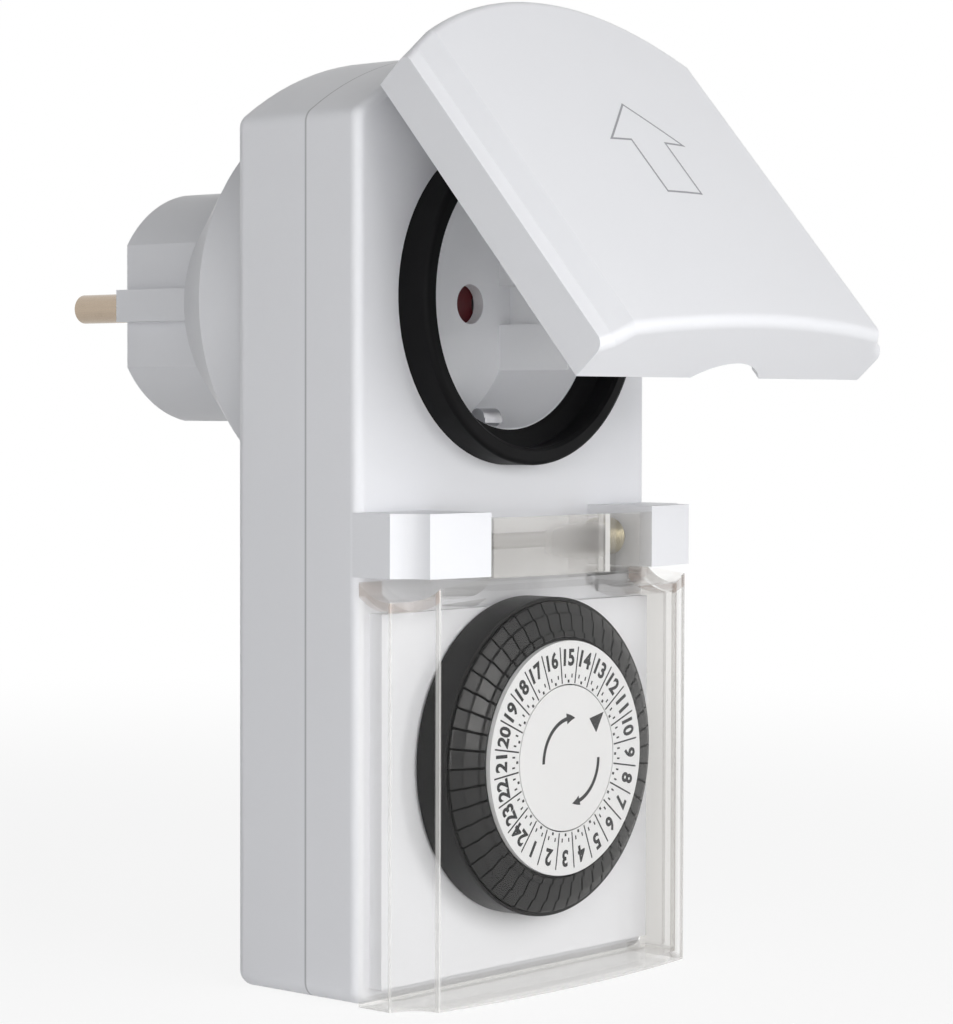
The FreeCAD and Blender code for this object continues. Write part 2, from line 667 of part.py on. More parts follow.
def contact_start():
    return depth(get("recess_depth") + get("insert_floor") + get("shutter_thick") + 0.4)


def contact_sleeve(name, side):
    start = contact_start()
    tube = rod(f"{name}_tube", get("sleeve_outer"), pin_x * side, start, 0, get("sleeve_length"))
    bore = rod(f"{name}_bore", get("sleeve_inner"), pin_x * side, start - 1, 0, get("sleeve_length") + 2)
    slit = box(f"{name}_slit", (pin_x * side - 0.4, pin_x * side + 0.4), (start + 3, start + 18), (0, 6))
    return keep(name, cut(f"{name}_shape", tube, bore, slit))


def socket_earth_bow():
    """Two spring clips at the top and bottom of the recess, joined behind its floor."""
    half_width = get("clip_width") / 2
    near = get("recess_radius") - get("clip_inset") + 2.3
    far = near + get("clip_thick")
    rear = contact_start()
    legs = [stacked_box(f"clip_leg_{level}", (-half_width, half_width), (depth(3.2), rear + get("bar_thick")), level,
                        near, far) for level in (-1, 1)]
    noses = []
    for level in (-1, 1):
        height = near if level > 0 else -near
        bump = rod(f"clip_nose_{level}", 1.4, -half_width, depth(4.8), height, get("clip_width"), "x")
        noses.append(bump)
    bar = box("bow_bar", (-half_width, half_width), (rear, rear + get("bar_thick")), (-far, far))
    link = box("bow_link", (-half_width, half_width), (rear, -get("plug_entry") + 0.1), (-get("bar_thick") / 2, get("bar_thick") / 2))
    return keep("socket_earth_bow", fuse("socket_earth_shape", bar, link, *legs, *noses))


def socket_shutter():
    """A sliding plate that closes both pin holes and springs back when the plug leaves."""
    start = depth(get("recess_depth") + get("insert_floor") + 0.15)
    reach = pin_x + get("entry_radius") + 1.2
    plate = box("shutter_plate", (-reach - 1, reach + 1), (start, start + get("shutter_thick")), (-4.6, 4.6))
    windows = [rod(f"shutter_window_{side}", get("entry_radius") - 0.3, pin_x * side + get("shutter_travel"), start - 1,
                   0, get("shutter_thick") + 2) for side in (-1, 1)]
    return keep("socket_shutter", cut("socket_shutter_shape", plate, *windows))


def shutter_frame():
    """The retaining frame behind the floor that guides the shutter."""
    start = depth(get("recess_depth") + get("insert_floor"))
    rails = [stacked_box(f"shutter_rail_{level}", (-14, 14), (start, start + get("shutter_thick") + 0.35), level,
                         4.75, 6.2) for level in (-1, 1)]
    return keep("shutter_guide_rails", group("shutter_rails_shape", *rails))


# Hinged lid, drawn about its own hinge axis and then opened
def lid_arch(inset, low_extra=0):
    side = half - inset
    rise = get("lid_apex") + get("lid_shoulder_drop")
    outer = arch_radius(half, rise)
    inner = outer - inset
    apex = get("lid_apex") - inset
    shoulder = apex - inner + root(inner * inner - side * side)
    low = -get("lid_below") + inset
    return [(-side, low), (side, low), (side, shoulder, inner, False), (-side, shoulder)]


def lid_section(inset):
    """The lid's section: straight side, ledge, sloping step and a crowned face."""
    side = half - inset
    rim = -get("lid_gap")
    top_side = rim - get("lid_side") + inset / 2
    ledge_x = side - get("lid_ledge")
    ledge_y = top_side - get("lid_ledge_rise")
    step_x = ledge_x - get("lid_step")
    step_y = ledge_y - get("lid_step_rise") + inset / 2
    crown = arch_radius(step_x, get("lid_crown"))
    start = rim if inset.value == 0 else rim + 1
    return [(-side, start), (-side, top_side), (-ledge_x, ledge_y), (-step_x, step_y, crown, False),
            (step_x, step_y), (ledge_x, ledge_y), (side, top_side), (side, start)]


def lid_body(name, inset):
    """The lid's section run along Z, kept inside the arched outline."""
    section = doc.addObject("PartDesign::Body", f"{name}_section_body")
    low = -get("lid_below") + inset
    sketch = draw(body_sketch(section, f"{name}_section", "XY_Plane", low), lid_section(inset))
    section.Tip = pad(section, sketch, get("lid_below") + get("lid_apex") + 2, f"{name}_run")
    arch = doc.addObject("PartDesign::Body", f"{name}_arch_body")
    line = draw(body_sketch(arch, f"{name}_arch_line", "XZ_Plane", -2), lid_arch(inset))
    arch.Tip = pad(arch, line, 20, f"{name}_arch_pad")
    return common(f"{name}_mass", section, arch)


def lid():
    outer = lid_body("lid_outer", size(0))
    doc.recompute()
    crisp = [number for number, edge in enumerate(outer.Shape.Edges, start=1) if lid_rounded(edge)]
    rounded = doc.addObject("Part::Fillet", "lid_rounded")
    rounded.Base = outer
    rounded.Edges = [(number, get("lid_round").value, get("lid_round").value) for number in crisp]
    inner = lid_body("lid_inner", get("lid_wall"))
    relief = box("lid_relief_cut", (-half - 1, half + 1), (-get("lid_relief"), 4), (-3.2, get("lid_apex") + 2))
    deep = lid_floor_y()
    rib = cut("lid_rib", rod("lid_rib_outer", get("lid_rib_outer"), 0, deep - 0.6, -get("hinge_lift"),
                             -get("seal_stand") - gap - deep + 0.6),
              rod("lid_rib_inner", get("lid_rib_outer") - get("lid_rib_wall"), 0, deep - 2, -get("hinge_lift"), 20))
    rib_kept = common("lid_rib_kept", rib, lid_body("lid_rib_limit", get("lid_wall") / 2))
    lugs = []
    for side in (-1, 1):
        near, far = get("lug_inner"), get("lug_outer")
        start = near if side > 0 else -far
        lugs.append(rod(f"lid_lug_{side}", get("lug_radius"), start, 0, 0, far - near, "x"))
        spread = (near, far) if side > 0 else (-far, -near)
        lugs.append(box(f"lid_lug_arm_{side}", spread, (deep - 0.6, 0), (-get("lug_radius"), get("lug_radius"))))
    kept_lugs = fuse("lid_lugs", *lugs)
    bore = rod("lid_bore", get("lid_pin_radius") + get("slip") + 0.01, -10, 0, 0, 20, "x")
    finger_radius = arch_radius(get("finger_width") / 2, get("finger_rise"))
    finger = rod("finger_notch", finger_radius, 0, -get("lid_gap") - get("finger_rise") + finger_radius,
                 -get("lid_below") - 1, 6, "z")
    shell = cut("lid_shell", rounded, inner, relief, finger)
    shape = cut("lid_shape", fuse("lid_joined", shell, rib_kept, kept_lugs), bore)
    placed = place(shape, 0, front, get("hinge_lift"), FreeCAD.Vector(-1, 0, 0), get("lid_open").value)
    bind(placed, "Placement.Rotation.Angle", get("lid_open"))
    return keep("lid", placed)


def lid_floor_y():
    """How far the lid's inner face lies in front of the hinge axis, at its middle."""
    return (-get("lid_gap") - get("lid_side") - get("lid_ledge_rise") - get("lid_step_rise") - get("lid_crown")
            + get("lid_wall"))


def lid_rounded(edge):
    """Edges of the lid's outer face at its free end and along its arch."""
    bounds = edge.BoundBox
    facing = bounds.YMax < -get("lid_gap").value - 1.0
    free_end = abs(bounds.ZMin + get("lid_below").value) < 1e-4 and abs(bounds.ZMax - bounds.ZMin) < 1e-4
    arched_end = bounds.ZMin > -get("lid_shoulder_drop").value - 3.5
    return facing and (free_end or arched_end)


def lid_hinge_pin():
    reach = get("lug_outer") + 1.0
    return keep("lid_hinge_pin", rod("lid_hinge_pin_shape", get("lid_pin_radius"), -reach, front, get("hinge_lift"),
                                     reach * 2, "x"))


# Clear timer cover with its pin and spring
def cover_prism(name, inset, low, high, open_edge):
    """The cover's plan outline run along Z: open to the casing, hollow corners, crowned front."""
    body = doc.addObject("PartDesign::Body", name)
    side = half - inset
    edge, nose, ledge, radius = cove(get("cover_cove"), inset, size(0))
    path = [(-side, open_edge), (-side, ledge, radius, True), (-edge, nose, crown_radius() - inset, False),
            (edge, nose, radius, True), (side, ledge), (side, open_edge)]
    sketch = draw(body_sketch(body, f"{name}_line", "XY_Plane", low), path)
    body.Tip = pad(body, sketch, high - low, f"{name}_pad")
    return body


def timer_cover():
    """A clear box whose top is hollowed round the hinge, so that it swings past the blocks."""
    thick = get("cover_wall")
    top = -get("cover_top_drop")
    hinge_y, hinge_z = depth(-get("cover_hinge_back")), cover_hinge_z()
    inner_x = get("block_inner") - gap
    open_edge = depth(-gap)
    outer = cover_prism("cover_outer", size(0), bottom, top, open_edge)
    inner = cover_prism("cover_inner", thick, bottom + thick, top + 1, depth(1))
    box_shape = cut("cover_box", outer, inner)
    limit = cover_prism("cover_roof_limit", thick / 2, bottom, top, open_edge)
    roofs = []
    scoops = []
    for side in (-1, 1):
        near, far = inner_x - 0.6, half + 1
        start = near if side > 0 else -far
        roofs.append(rod(f"cover_roof_{side}", get("scoop_radius") + get("roof_thick"), start, hinge_y, hinge_z,
                         far - near, "x"))
        start = inner_x if side > 0 else -far
        scoops.append(rod(f"cover_scoop_{side}", get("scoop_radius"), start, hinge_y, hinge_z, far - inner_x, "x"))
    roof_kept = common("cover_roof_sides", limit, fuse("cover_roof_rods", *roofs))
    roof_top = -get("roof_drop")
    roof = common("cover_roof_kept", limit, box("cover_roof_middle", (-inner_x - 0.8, inner_x + 0.8),
                                                (depth(-get("cover_front")), hinge_y + get("roof_reach")),
                                                (roof_top - get("roof_thick"), roof_top)))
    middle = box("cover_middle_space", (-inner_x + 1.5, inner_x - 1.5), (hinge_y - 5.6, depth(0.5)),
                 (roof_top, roof_top + 3))
    low_middle = box("cover_low_space", (-inner_x + 1.5, inner_x - 1.5), (hinge_y - 5.6, depth(0.5)),
                     (hinge_z - 12, roof_top - get("roof_thick")))
    kept_sides = cut("cover_roof_trimmed", roof_kept, low_middle, middle)
    nose = depth(-get("cover_front"))
    tab_top = -get("block_drop") - 0.8
    tab_shell = cut("cover_tab_shell", cover_prism("cover_tab_outer", size(0), top - 4, tab_top, open_edge),
                    cover_prism("cover_tab_inner", thick, top - 5, tab_top + 1, depth(1)))
    tab = common("cover_tab", tab_shell, box("cover_tab_limit", (-inner_x, inner_x), (nose - 1, hinge_y),
                                             (top - 4, tab_top)))
    cheeks = []
    cheek_front = crown_y(inner_x, thick / 2)
    for index, (low_x, high_x, low_z) in enumerate(cheek_spans()):
        begin = crown_y(high_x, thick / 2) if index == 1 else cheek_front
        cheeks.append(box(f"cover_cheek_{index}", (low_x, high_x), (begin, hinge_y + 3.4), (low_z, tab_top - 0.4)))
    mass = fuse("cover_mass", box_shape, kept_sides, roof, tab, *cheeks)
    bore = rod("cover_bore", get("cover_pin_radius") + get("slip") + 0.01, -20, hinge_y, hinge_z, 40, "x")
    return keep("timer_cover", cut("timer_cover_shape", mass, bore, *scoops))


def cheek_spans():
    """The two end cheeks close the step in the roof; the divider stands beside the spring."""
    tab_half = get("block_inner") - gap
    divider = get("cover_divider")
    low = cover_hinge_z() - get("scoop_radius") - get("roof_thick") / 2
    roof_low = -get("roof_drop") - get("roof_thick") / 2
    return [(-tab_half, -tab_half + 1.5, low), (divider, divider + 1.2, roof_low), (tab_half - 1.5, tab_half, low)]


def cover_hinge_pin():
    reach = get("block_inner") + 5.5
    return keep("cover_hinge_pin", rod("cover_pin_shape", get("cover_pin_radius"), -reach,
                                       depth(-get("cover_hinge_back")), cover_hinge_z(), reach * 2, "x"))


def swept(points, radius):
    """A round wire along points joined by arcs through each middle point."""
    edges = []
    for index in range(0, len(points) - 2, 2):
        edges.append(Part.Arc(points[index], points[index + 1], points[index + 2]).toShape())
    return edges


def cover_spring():
    """A coil round the hinge pin, between the divider and the right cheek, as one round wire."""
    radius, wire = get("spring_radius").value, get("spring_wire").value
    low = (get("cover_divider") + 1.2).value + 2 * wire
    high = (get("block_inner") - gap - 1.5).value - 2 * wire
    turns = get("spring_turns").value
    centre = FreeCAD.Vector(0, depth(-get("cover_hinge_back")).value, cover_hinge_z().value)
    steps = int(turns * 8)

    def point(step):
        angle = math.radians(step * 45.0)
        along = low + (high - low) * step / steps
        return centre + FreeCAD.Vector(along, radius * math.sin(angle), radius * math.cos(angle))

    points = [point(step) for step in range(steps + 1)]
    path = Part.Wire(swept(points, wire))
    start = points[0]
    direction = path.Edges[0].tangentAt(path.Edges[0].FirstParameter)
    section = Part.Wire([Part.Circle(start, direction, wire).toShape()])
    coil = path.makePipeShell([section], True, False)
    feature = doc.addObject("Part::Feature", "cover_spring_shape")
    feature.Shape = coil
    print("cover spring volume", coil.Volume, "expected", path.Length * math.pi * wire ** 2)
    return keep("cover_spring", feature)


# Dial: drum, label ring, tappets, gear and fixed centre plate
def web_front():
    return depth(-get("label_front") + get("label_thick"))


def dial_drum():
    outer, rim = get("drum_radius"), get("drum_radius") - get("rim_wall")
    label = get("label_radius") + 0.3
    inner = label - get("ring_wall")
    front_web = web_front()
    back_face = depth(-get("drum_back"))
    base = back_face - get("web_thick")
    bore = get("axle_radius") + get("axle_slip")
    hub_end = depth(get("gear_start"))
    path = [(bore, front_web), (label, front_web), (label, base), (rim, base), (rim, depth(-get("drum_front"))),
            (outer, depth(-get("drum_front"))), (outer, back_face), (inner, back_face),
            (inner, front_web + get("web_thick")), (get("hub_radius"), front_web + get("web_thick")),
            (get("hub_radius"), hub_end), (bore, hub_end)]
    body = turned("dial_drum_body", path, 0, dial_z)
    slots = []
    for index in range(int(get("tappet_count").value)):
        slot = turned_box(f"leg_slot_{index}", (get("leg_inner") - 0.15, get("leg_outer") + 0.15),
                          (depth(-6), depth(-1)), get("leg_width") / 2 + 0.15, index)
        slots.append(slot)
    return keep("dial_drum", cut("dial_drum_shape", body, group("leg_slots", *slots)))


def turned_box(name, r_range, y_range, half_width, index):
    """A box that stands on a radius of the dial, turned to a tappet's own place."""
    thing = doc.addObject("Part::Box", name)
    spans = (("Length", r_range[1] - r_range[0]), ("Width", y_range[1] - y_range[0]), ("Height", half_width * 2))
    for prop, span in spans:
        setattr(thing, prop, span.value)
        bind(thing, prop, span)
    angle = 360.0 / get("tappet_count").value * (index + 0.5)
    turn = FreeCAD.Rotation(Y_AXIS, angle)
    corner = turn.multVec(FreeCAD.Vector(r_range[0].value, 0, -half_width.value))
    thing.Placement = FreeCAD.Placement(corner + FreeCAD.Vector(0, y_range[0].value, dial_z.value), turn)
    return thing


def tappet_solid():
    """One tappet in place 0: a wedge with a bevelled top and a leg through the drum."""
    outer = get("drum_radius") - get("rim_wall") - 0.1
    inner = get("label_radius") + 0.4
    top_inner = depth(-get("label_front") + 0.5)
    top_outer = depth(-get("drum_front") - 0.4)
    foot = depth(-get("drum_back")) - get("web_thick") - get("tappet_travel") - 0.2
    points = [(inner.value, foot.value), (outer.value, foot.value), (outer.value, top_outer.value),
              (inner.value, top_inner.value)]
    wire = Part.makePolygon([FreeCAD.Vector(x, y, 0) for x, y in points + points[:1]])
    step = 360.0 / get("tappet_count").value
    wedge = Part.Face(wire).revolve(FreeCAD.Vector(0, 0, 0), Y_AXIS, step)
    trim = get("tappet_gap").value / 2
    for angle, side in ((0.0, -1), (step, 1)):
        reach = outer.value + 2
        blade = Part.makeBox(reach, 30, 2 * trim, FreeCAD.Vector(0, front.value - 20, -trim))
        blade.rotate(FreeCAD.Vector(0, 0, 0), Y_AXIS, angle)
        wedge = wedge.cut(blade)
    leg_inner, leg_outer = get("leg_inner").value, get("leg_outer").value
    width = get("leg_width").value
    leg_end = depth(get("leg_tip")).value
    leg = Part.makeBox(leg_outer - leg_inner, leg_end - foot.value + 0.5, width,
                       FreeCAD.Vector(leg_inner, foot.value - 0.5, -width / 2))
    leg.rotate(FreeCAD.Vector(0, 0, 0), Y_AXIS, step / 2)
    solid = wedge.fuse(leg).removeSplitter()
    return solid.Solids[0]


def tappets():
    """Twelve tappets on the side that shows stand alone; the rest are one group."""
    count = int(get("tappet_count").value)
    pattern = tappet_solid()
    step = 360.0 / count
    first = single_tappets()[0]
    grouped = []
    for index in range(count):
        copy = pattern.copy()
        copy.rotate(FreeCAD.Vector(0, 0, 0), Y_AXIS, index * step)
        copy.translate(FreeCAD.Vector(0, 0, dial_z.value))
        if index in single_tappets():
            feature = doc.addObject("Part::Feature", f"tappet_single_{index}")
            feature.Shape = copy
            keep(f"tappet_{index - first + 1:02d}", feature)
        else:
            grouped.append(copy)
    feature = doc.addObject("Part::Feature", "tappets_grouped")
    feature.Shape = Part.makeCompound(grouped)
    keep("tappets_fixed_group", feature)


def single_tappets():
    return list(range(18, 30))


def scale_ring():
    start = depth(-get("label_front"))
    ring = rod("scale_ring_disc", get("label_radius"), 0, start, dial_z, get("label_thick"))
    hole = rod("scale_ring_hole", get("label_inner"), 0, start - 1, dial_z, get("label_thick") + 2)
    return keep("scale_ring", cut("scale_ring_shape", ring, hole))


def centre_plate():
    start = depth(-get("label_front"))
    return keep("centre_plate", rod("centre_plate_shape", get("centre_radius"), 0, start, dial_z, get("centre_thick")))


def dial_axle():
    start = depth(-get("label_front") + get("centre_thick"))
    end = depth(get("plate_start") + get("plate_thick"))
    return keep("dial_axle", rod("dial_axle_shape", get("axle_radius"), 0, start, dial_z, end - start))


def tooth_outline(teeth, shift_degrees):
    """A gear's outline in X and Z as one closed polygon with involute-like flanks."""
    module = get("tooth_module").value
    pitch = teeth * module / 2
    tip = pitch + 0.78 * module
    foot = pitch - 1.1 * module
    pitch_half = math.degrees((math.pi * module / 2 - 0.16) / 2 / pitch)
    levels = [(foot, 1.5), (pitch - 0.45 * module, 1.30), (pitch, 1.0), (pitch + 0.4 * module, 0.66), (tip, 0.34)]
    points = []
    for number in range(teeth):
        middle = 360.0 / teeth * number + shift_degrees
        flank = [(radius, middle - pitch_half * share) for radius, share in levels]
        flank += [(radius, middle + pitch_half * share) for radius, share in reversed(levels)]
        points += flank
    vectors = [FreeCAD.Vector(r * math.cos(math.radians(a)), 0, r * math.sin(math.radians(a))) for r, a in points]
    return Part.makePolygon(vectors + vectors[:1])


def gear_solid(teeth, bore, y_start, y_end, x, z, shift=0.0):
    outline = Part.Face(tooth_outline(teeth, shift))
    blank = outline.extrude(FreeCAD.Vector(0, y_end - y_start, 0))
    blank.translate(FreeCAD.Vector(x, y_start, z))
    if bore:
        hole = Part.makeCylinder(bore, y_end - y_start + 2, FreeCAD.Vector(x, y_start - 1, z), Y_AXIS)
        blank = blank.cut(hole)
    return blank


def pitch_radius(alias):
    return get(alias) * get("tooth_module") / 2


MESH_SLACK = 0.12


def idler_place():
    reach = pitch_radius("dial_teeth") + pitch_radius("pinion_teeth") + MESH_SLACK
    return (cosine(get("wheel_direction")) * reach, dial_z + sine(get("wheel_direction")) * reach)


def motor_place():
    reach = pitch_radius("wheel_teeth") + pitch_radius("pinion_teeth") + MESH_SLACK
    x, z = idler_place()
    return (x + cosine(get("motor_direction")) * reach, z + sine(get("motor_direction")) * reach)


def mesh_shift(teeth, towards_degrees, gap_in_mesh):
    """Turn a gear so that a tooth, or the gap between two, points at its partner."""
    pitch = 360.0 / teeth
    offset = pitch / 2 if gap_in_mesh else 0.0
    return towards_degrees + offset


def shape_node(name, shape):
    feature = doc.addObject("Part::Feature", name + "_shape")
    feature.Shape = shape
    return keep(name, feature)


def dial_gear():
    start, end = depth(get("gear_start")).value, depth(get("gear_start") + get("gear_thick")).value
    teeth = int(get("dial_teeth").value)
    shift = mesh_shift(teeth, get("wheel_direction").value, False)
    gear = gear_solid(teeth, (get("axle_radius") + get("axle_slip")).value, start, end, 0, dial_z.value, shift)
    for spoke in range(4):
        angle = math.radians(45 + 90 * spoke)
        window = Part.makeCylinder(3.6, 10, FreeCAD.Vector(10.2 * math.cos(angle), start - 4,
                                                           dial_z.value + 10.2 * math.sin(angle)), Y_AXIS)
        gear = gear.cut(window)
    return shape_node("dial_gear", gear)


def intermediate_gear():
    x, z = (amount.value for amount in idler_place())
    bore = get("idler_axle_radius").value + get("axle_slip").value
    pinion_teeth, wheel_teeth = int(get("pinion_teeth").value), int(get("wheel_teeth").value)
    start = depth(get("gear_start") - 0.3).value
    middle, end = depth(get("wheel_start")).value, depth(get("wheel_start") + get("wheel_thick")).value
    pinion = gear_solid(pinion_teeth, bore, start, middle + 0.2, x, z,
                        mesh_shift(pinion_teeth, get("wheel_direction").value + 180, True))
    wheel = gear_solid(wheel_teeth, bore, middle, end, x, z,
                       mesh_shift(wheel_teeth, get("motor_direction").value, False))
    gear = wheel.fuse(pinion)
    for spoke in range(3):
        angle = math.radians(30 + 120 * spoke)
        hole = Part.makeCylinder(3.0, 10, FreeCAD.Vector(x + 8.6 * math.cos(angle), middle - 1,
                                                         z + 8.6 * math.sin(angle)), Y_AXIS)
        gear = gear.cut(hole)
    return shape_node("intermediate_gear", gear.removeSplitter())


def intermediate_axle():
    x, z = idler_place()
    start = depth(get("gear_start") - 1.2)
    end = depth(get("plate_start") + get("plate_thick"))
    return keep("intermediate_axle", rod("intermediate_axle_shape", get("idler_axle_radius"), x, start, z, end - start))


def motor_pinion():
    x, z = (amount.value for amount in motor_place())
    teeth = int(get("pinion_teeth").value)
    start, end = depth(get("wheel_start") - 0.3).value, depth(get("wheel_start") + get("wheel_thick") + 0.3).value
    pinion = gear_solid(teeth, 0, start, end, x, z, mesh_shift(teeth, get("motor_direction").value + 180, True))
    shaft_end = depth(get("plate_start") + get("plate_thick") + 0.3).value + get("motor_wall").value + 0.6
    shaft = Part.makeCylinder(get("output_shaft").value, shaft_end - start, FreeCAD.Vector(x, start, z), Y_AXIS)
    return shape_node("motor_pinion", pinion.fuse(shaft).removeSplitter())


# Movement plate, motor and switch
def movement_plate():
    start = depth(get("plate_start"))
    plate = box("plate_blank", (-get("plate_left"), get("plate_right")), (start, start + get("plate_thick")),
                (dial_z - get("plate_down"), dial_z + get("plate_up")))
    holes = [rod(f"plate_hole_{index}", get("pillar_hole") + 0.2, x, start - 1, z, 5)
             for index, (x, z) in enumerate(pillar_places())]
    idler_x, idler_z = idler_place()
    motor_x, motor_z = motor_place()
    holes.append(rod("plate_axle_hole", get("axle_radius"), 0, start - 1, dial_z, 5))
    holes.append(rod("plate_idler_hole", get("idler_axle_radius"), idler_x, start - 1, idler_z, 5))
    holes.append(rod("plate_motor_hole", get("output_shaft") + 0.5, motor_x, start - 1, motor_z, 5))
    return keep("movement_plate", cut("movement_plate_shape", plate, *holes))


def motor_start():
    return depth(get("plate_start") + get("plate_thick"))


def motor_housing():
    x, z = motor_place()
    start, thick = motor_start(), get("motor_wall")
    can = rod("motor_can", get("motor_radius"), x, start, z, get("motor_depth"))
    hollow = rod("motor_hollow", get("motor_radius") - thick, x, start + thick, z, get("motor_depth") - thick * 2)
    bore = rod("motor_bore", get("output_shaft") + get("axle_slip"), x, start - 1, z, 2 + thick)
    bearing = rod("motor_bearing", get("rotor_shaft") + get("axle_slip"), x,
                  start + get("motor_depth") - thick - 0.5, z, thick + 1)
    return keep("motor_housing", cut("motor_housing_shape", can, hollow, bore, bearing))


def motor_coil():
    x, z = motor_place()
    start = motor_start() + get("motor_wall") + 0.05
    length = get("motor_depth") - get("motor_wall") * 2 - 0.1
    ring = rod("coil_ring", get("coil_outer"), x, start, z, length)
    hole = rod("coil_hole", get("coil_inner"), x, start - 1, z, length + 2)
    return keep("motor_coil", cut("motor_coil_shape", ring, hole))


def motor_rotor():
    x, z = motor_place()
    thick = get("motor_wall")
    start = motor_start() + thick + 1.6
    end = motor_start() + get("motor_depth") - thick - 0.4
    magnet = rod("rotor_magnet", get("rotor_radius"), x, start, z, end - start)
    shaft = rod("rotor_shaft_rod", get("rotor_shaft"), x, start, z, end - start + 0.4 + thick * 0.8)
    return keep("motor_rotor", fuse("motor_rotor_shape", magnet, shaft))


def follower_lever():
    """Rides behind the tappets and rocks about a pin along Z."""
    pivot_x, pivot_y = get("lever_pivot_x"), depth(get("lever_pivot_depth"))
    thick = get("lever_thick")
    low, high = dial_z - thick / 2, dial_z + thick / 2
    nose_x = (get("leg_inner") + get("leg_outer")) / 2
    nose_y = depth(get("lever_nose"))
    hub = rod("lever_hub", 2.2, pivot_x, pivot_y, low, thick, "z")
    arm = doc.addObject("PartDesign::Body", "lever_arm_body")
    path = [(nose_x - 0.6, nose_y), (nose_x + 0.8, nose_y), (pivot_x + 0.9, pivot_y - 1.6),
            (pivot_x - 0.9, pivot_y + 1.6), (nose_x - 0.6, nose_y + 1.8)]
    sketch = draw(body_sketch(arm, "lever_arm_line", "XY_Plane", low), path)
    arm.Tip = pad(arm, sketch, thick, "lever_arm_pad")
    tail = box("lever_tail", (pivot_x - 0.4, pivot_x + 1.4), (pivot_y, pivot_y + 7.2), (low, high))
    bore = rod("lever_bore", get("idler_axle_radius") + get("axle_slip"), pivot_x, pivot_y, low - 1, thick + 2, "z")
    return keep("follower_lever", cut("follower_lever_shape", fuse("lever_mass", hub, arm, tail), bore))


def lever_pin():
    low = dial_z - get("lever_thick") / 2 - 2.6
    return keep("follower_pin", rod("follower_pin_shape", get("idler_axle_radius"), get("lever_pivot_x"),
                                    depth(get("lever_pivot_depth")), low, get("lever_thick") + 5.2, "z"))


def lever_bracket():
    """Two ears that carry the follower's pin, standing on the front shell's inner face."""
    pivot_x, pivot_y = get("lever_pivot_x"), depth(get("lever_pivot_depth"))
    thick = get("lever_thick")
    ears = []
    for level in (-1, 1):
        near, far = thick / 2 + 0.2, thick / 2 + 2.2
        z_range = (dial_z + near, dial_z + far) if level > 0 else (dial_z - far, dial_z - near)
        ears.append(box(f"lever_ear_{level}", (pivot_x - 2, pivot_x + 2.2), (depth(-get("face_stand") + wall), pivot_y + 2),
                        z_range))
    bore = rod("lever_ear_bore", get("idler_axle_radius"), pivot_x, pivot_y, dial_z - 6, 12, "z")
    return keep("follower_bracket", cut("follower_bracket_shape", group("lever_ears", *ears), bore))


def blade_root_z():
    return dial_z + get("blade_top")


def switch_blade():
    """The moving contact strip; the follower's tail pushes its lower end."""
    x, thick = get("blade_x"), get("blade_thick")
    top = blade_root_z()
    y_range = (depth(12.6), depth(15.6))
    strip = box("blade_strip", (x, x + thick), y_range, (dial_z - 1.6, top))
    rivet = rod("blade_rivet", 1.1, x + thick, depth(14.1), dial_z + 2.2, 0.5, "x")
    eye = rod("blade_eye", 1.3, x + thick / 2, depth(12.6), top, 3.0)
    bore = rod("blade_eye_bore", 0.75, x + thick / 2, depth(12), top, 5)
    return keep("switch_blade", cut("switch_blade_shape", fuse("blade_mass", strip, rivet, eye), bore))


def switch_base():
    """The insulating block that holds the blade's pin and the fixed contact."""
    x = get("blade_x")
    top = blade_root_z()
    block = box("switch_block", (x - 3.2, half - wall - 0.1), (depth(11.2), depth(20.2)), (top - 2.6, top + 5))
    space = box("switch_space", (x - 1.3, x + 1.7), (depth(12.45), depth(15.75)), (top - 3, top + 1.8))
    slot = box("contact_slot", (get("contact_x") - 0.01, get("contact_x") + get("bar_thick") + 0.01),
               (depth(12.5), depth(21)), (top - 3, top + 6))
    rest = box("switch_foot", (x - 3.2, half - wall - 0.1), (depth(wall), depth(11.3)), (top + 2.6, top + 5))
    bore = rod("switch_pin_bore", 0.7, x + get("blade_thick") / 2, depth(11), top, 8)
    return keep("switch_base", cut("switch_base_shape", fuse("switch_mass", block, rest), space, slot, bore))


def switch_pin():
    x = get("blade_x") + get("blade_thick") / 2
    return keep("switch_pivot_pin", rod("switch_pin_shape", 0.7, x, depth(11.4), blade_root_z(), 5.6))


def fixed_contact():
    x = get("contact_x")
    top = blade_root_z()
    strip = box("contact_strip", (x, x + get("bar_thick")), (depth(12.6), depth(15.6)), (dial_z - 1.6, top + 5.6))
    rivet = rod("contact_rivet", 1.1, x - 0.6, depth(14.1), dial_z + 2.2, 0.7, "x")
    riser = box("contact_riser", (x, x + get("bar_thick")), (depth(12.6), depth(18.6)), (top + 2.6, top + 5.6))
    return keep("fixed_contact", fuse("fixed_contact_shape", strip, rivet, riser))


# Busbars and wires
def eyelet(name, x, y, z, inner, outer):
    ring = rod(f"{name}_ring", outer, x, y, z, get("bar_thick"))
    hole = rod(f"{name}_hole", inner, x, y - 1, z, get("bar_thick") + 2)
    return ring, hole


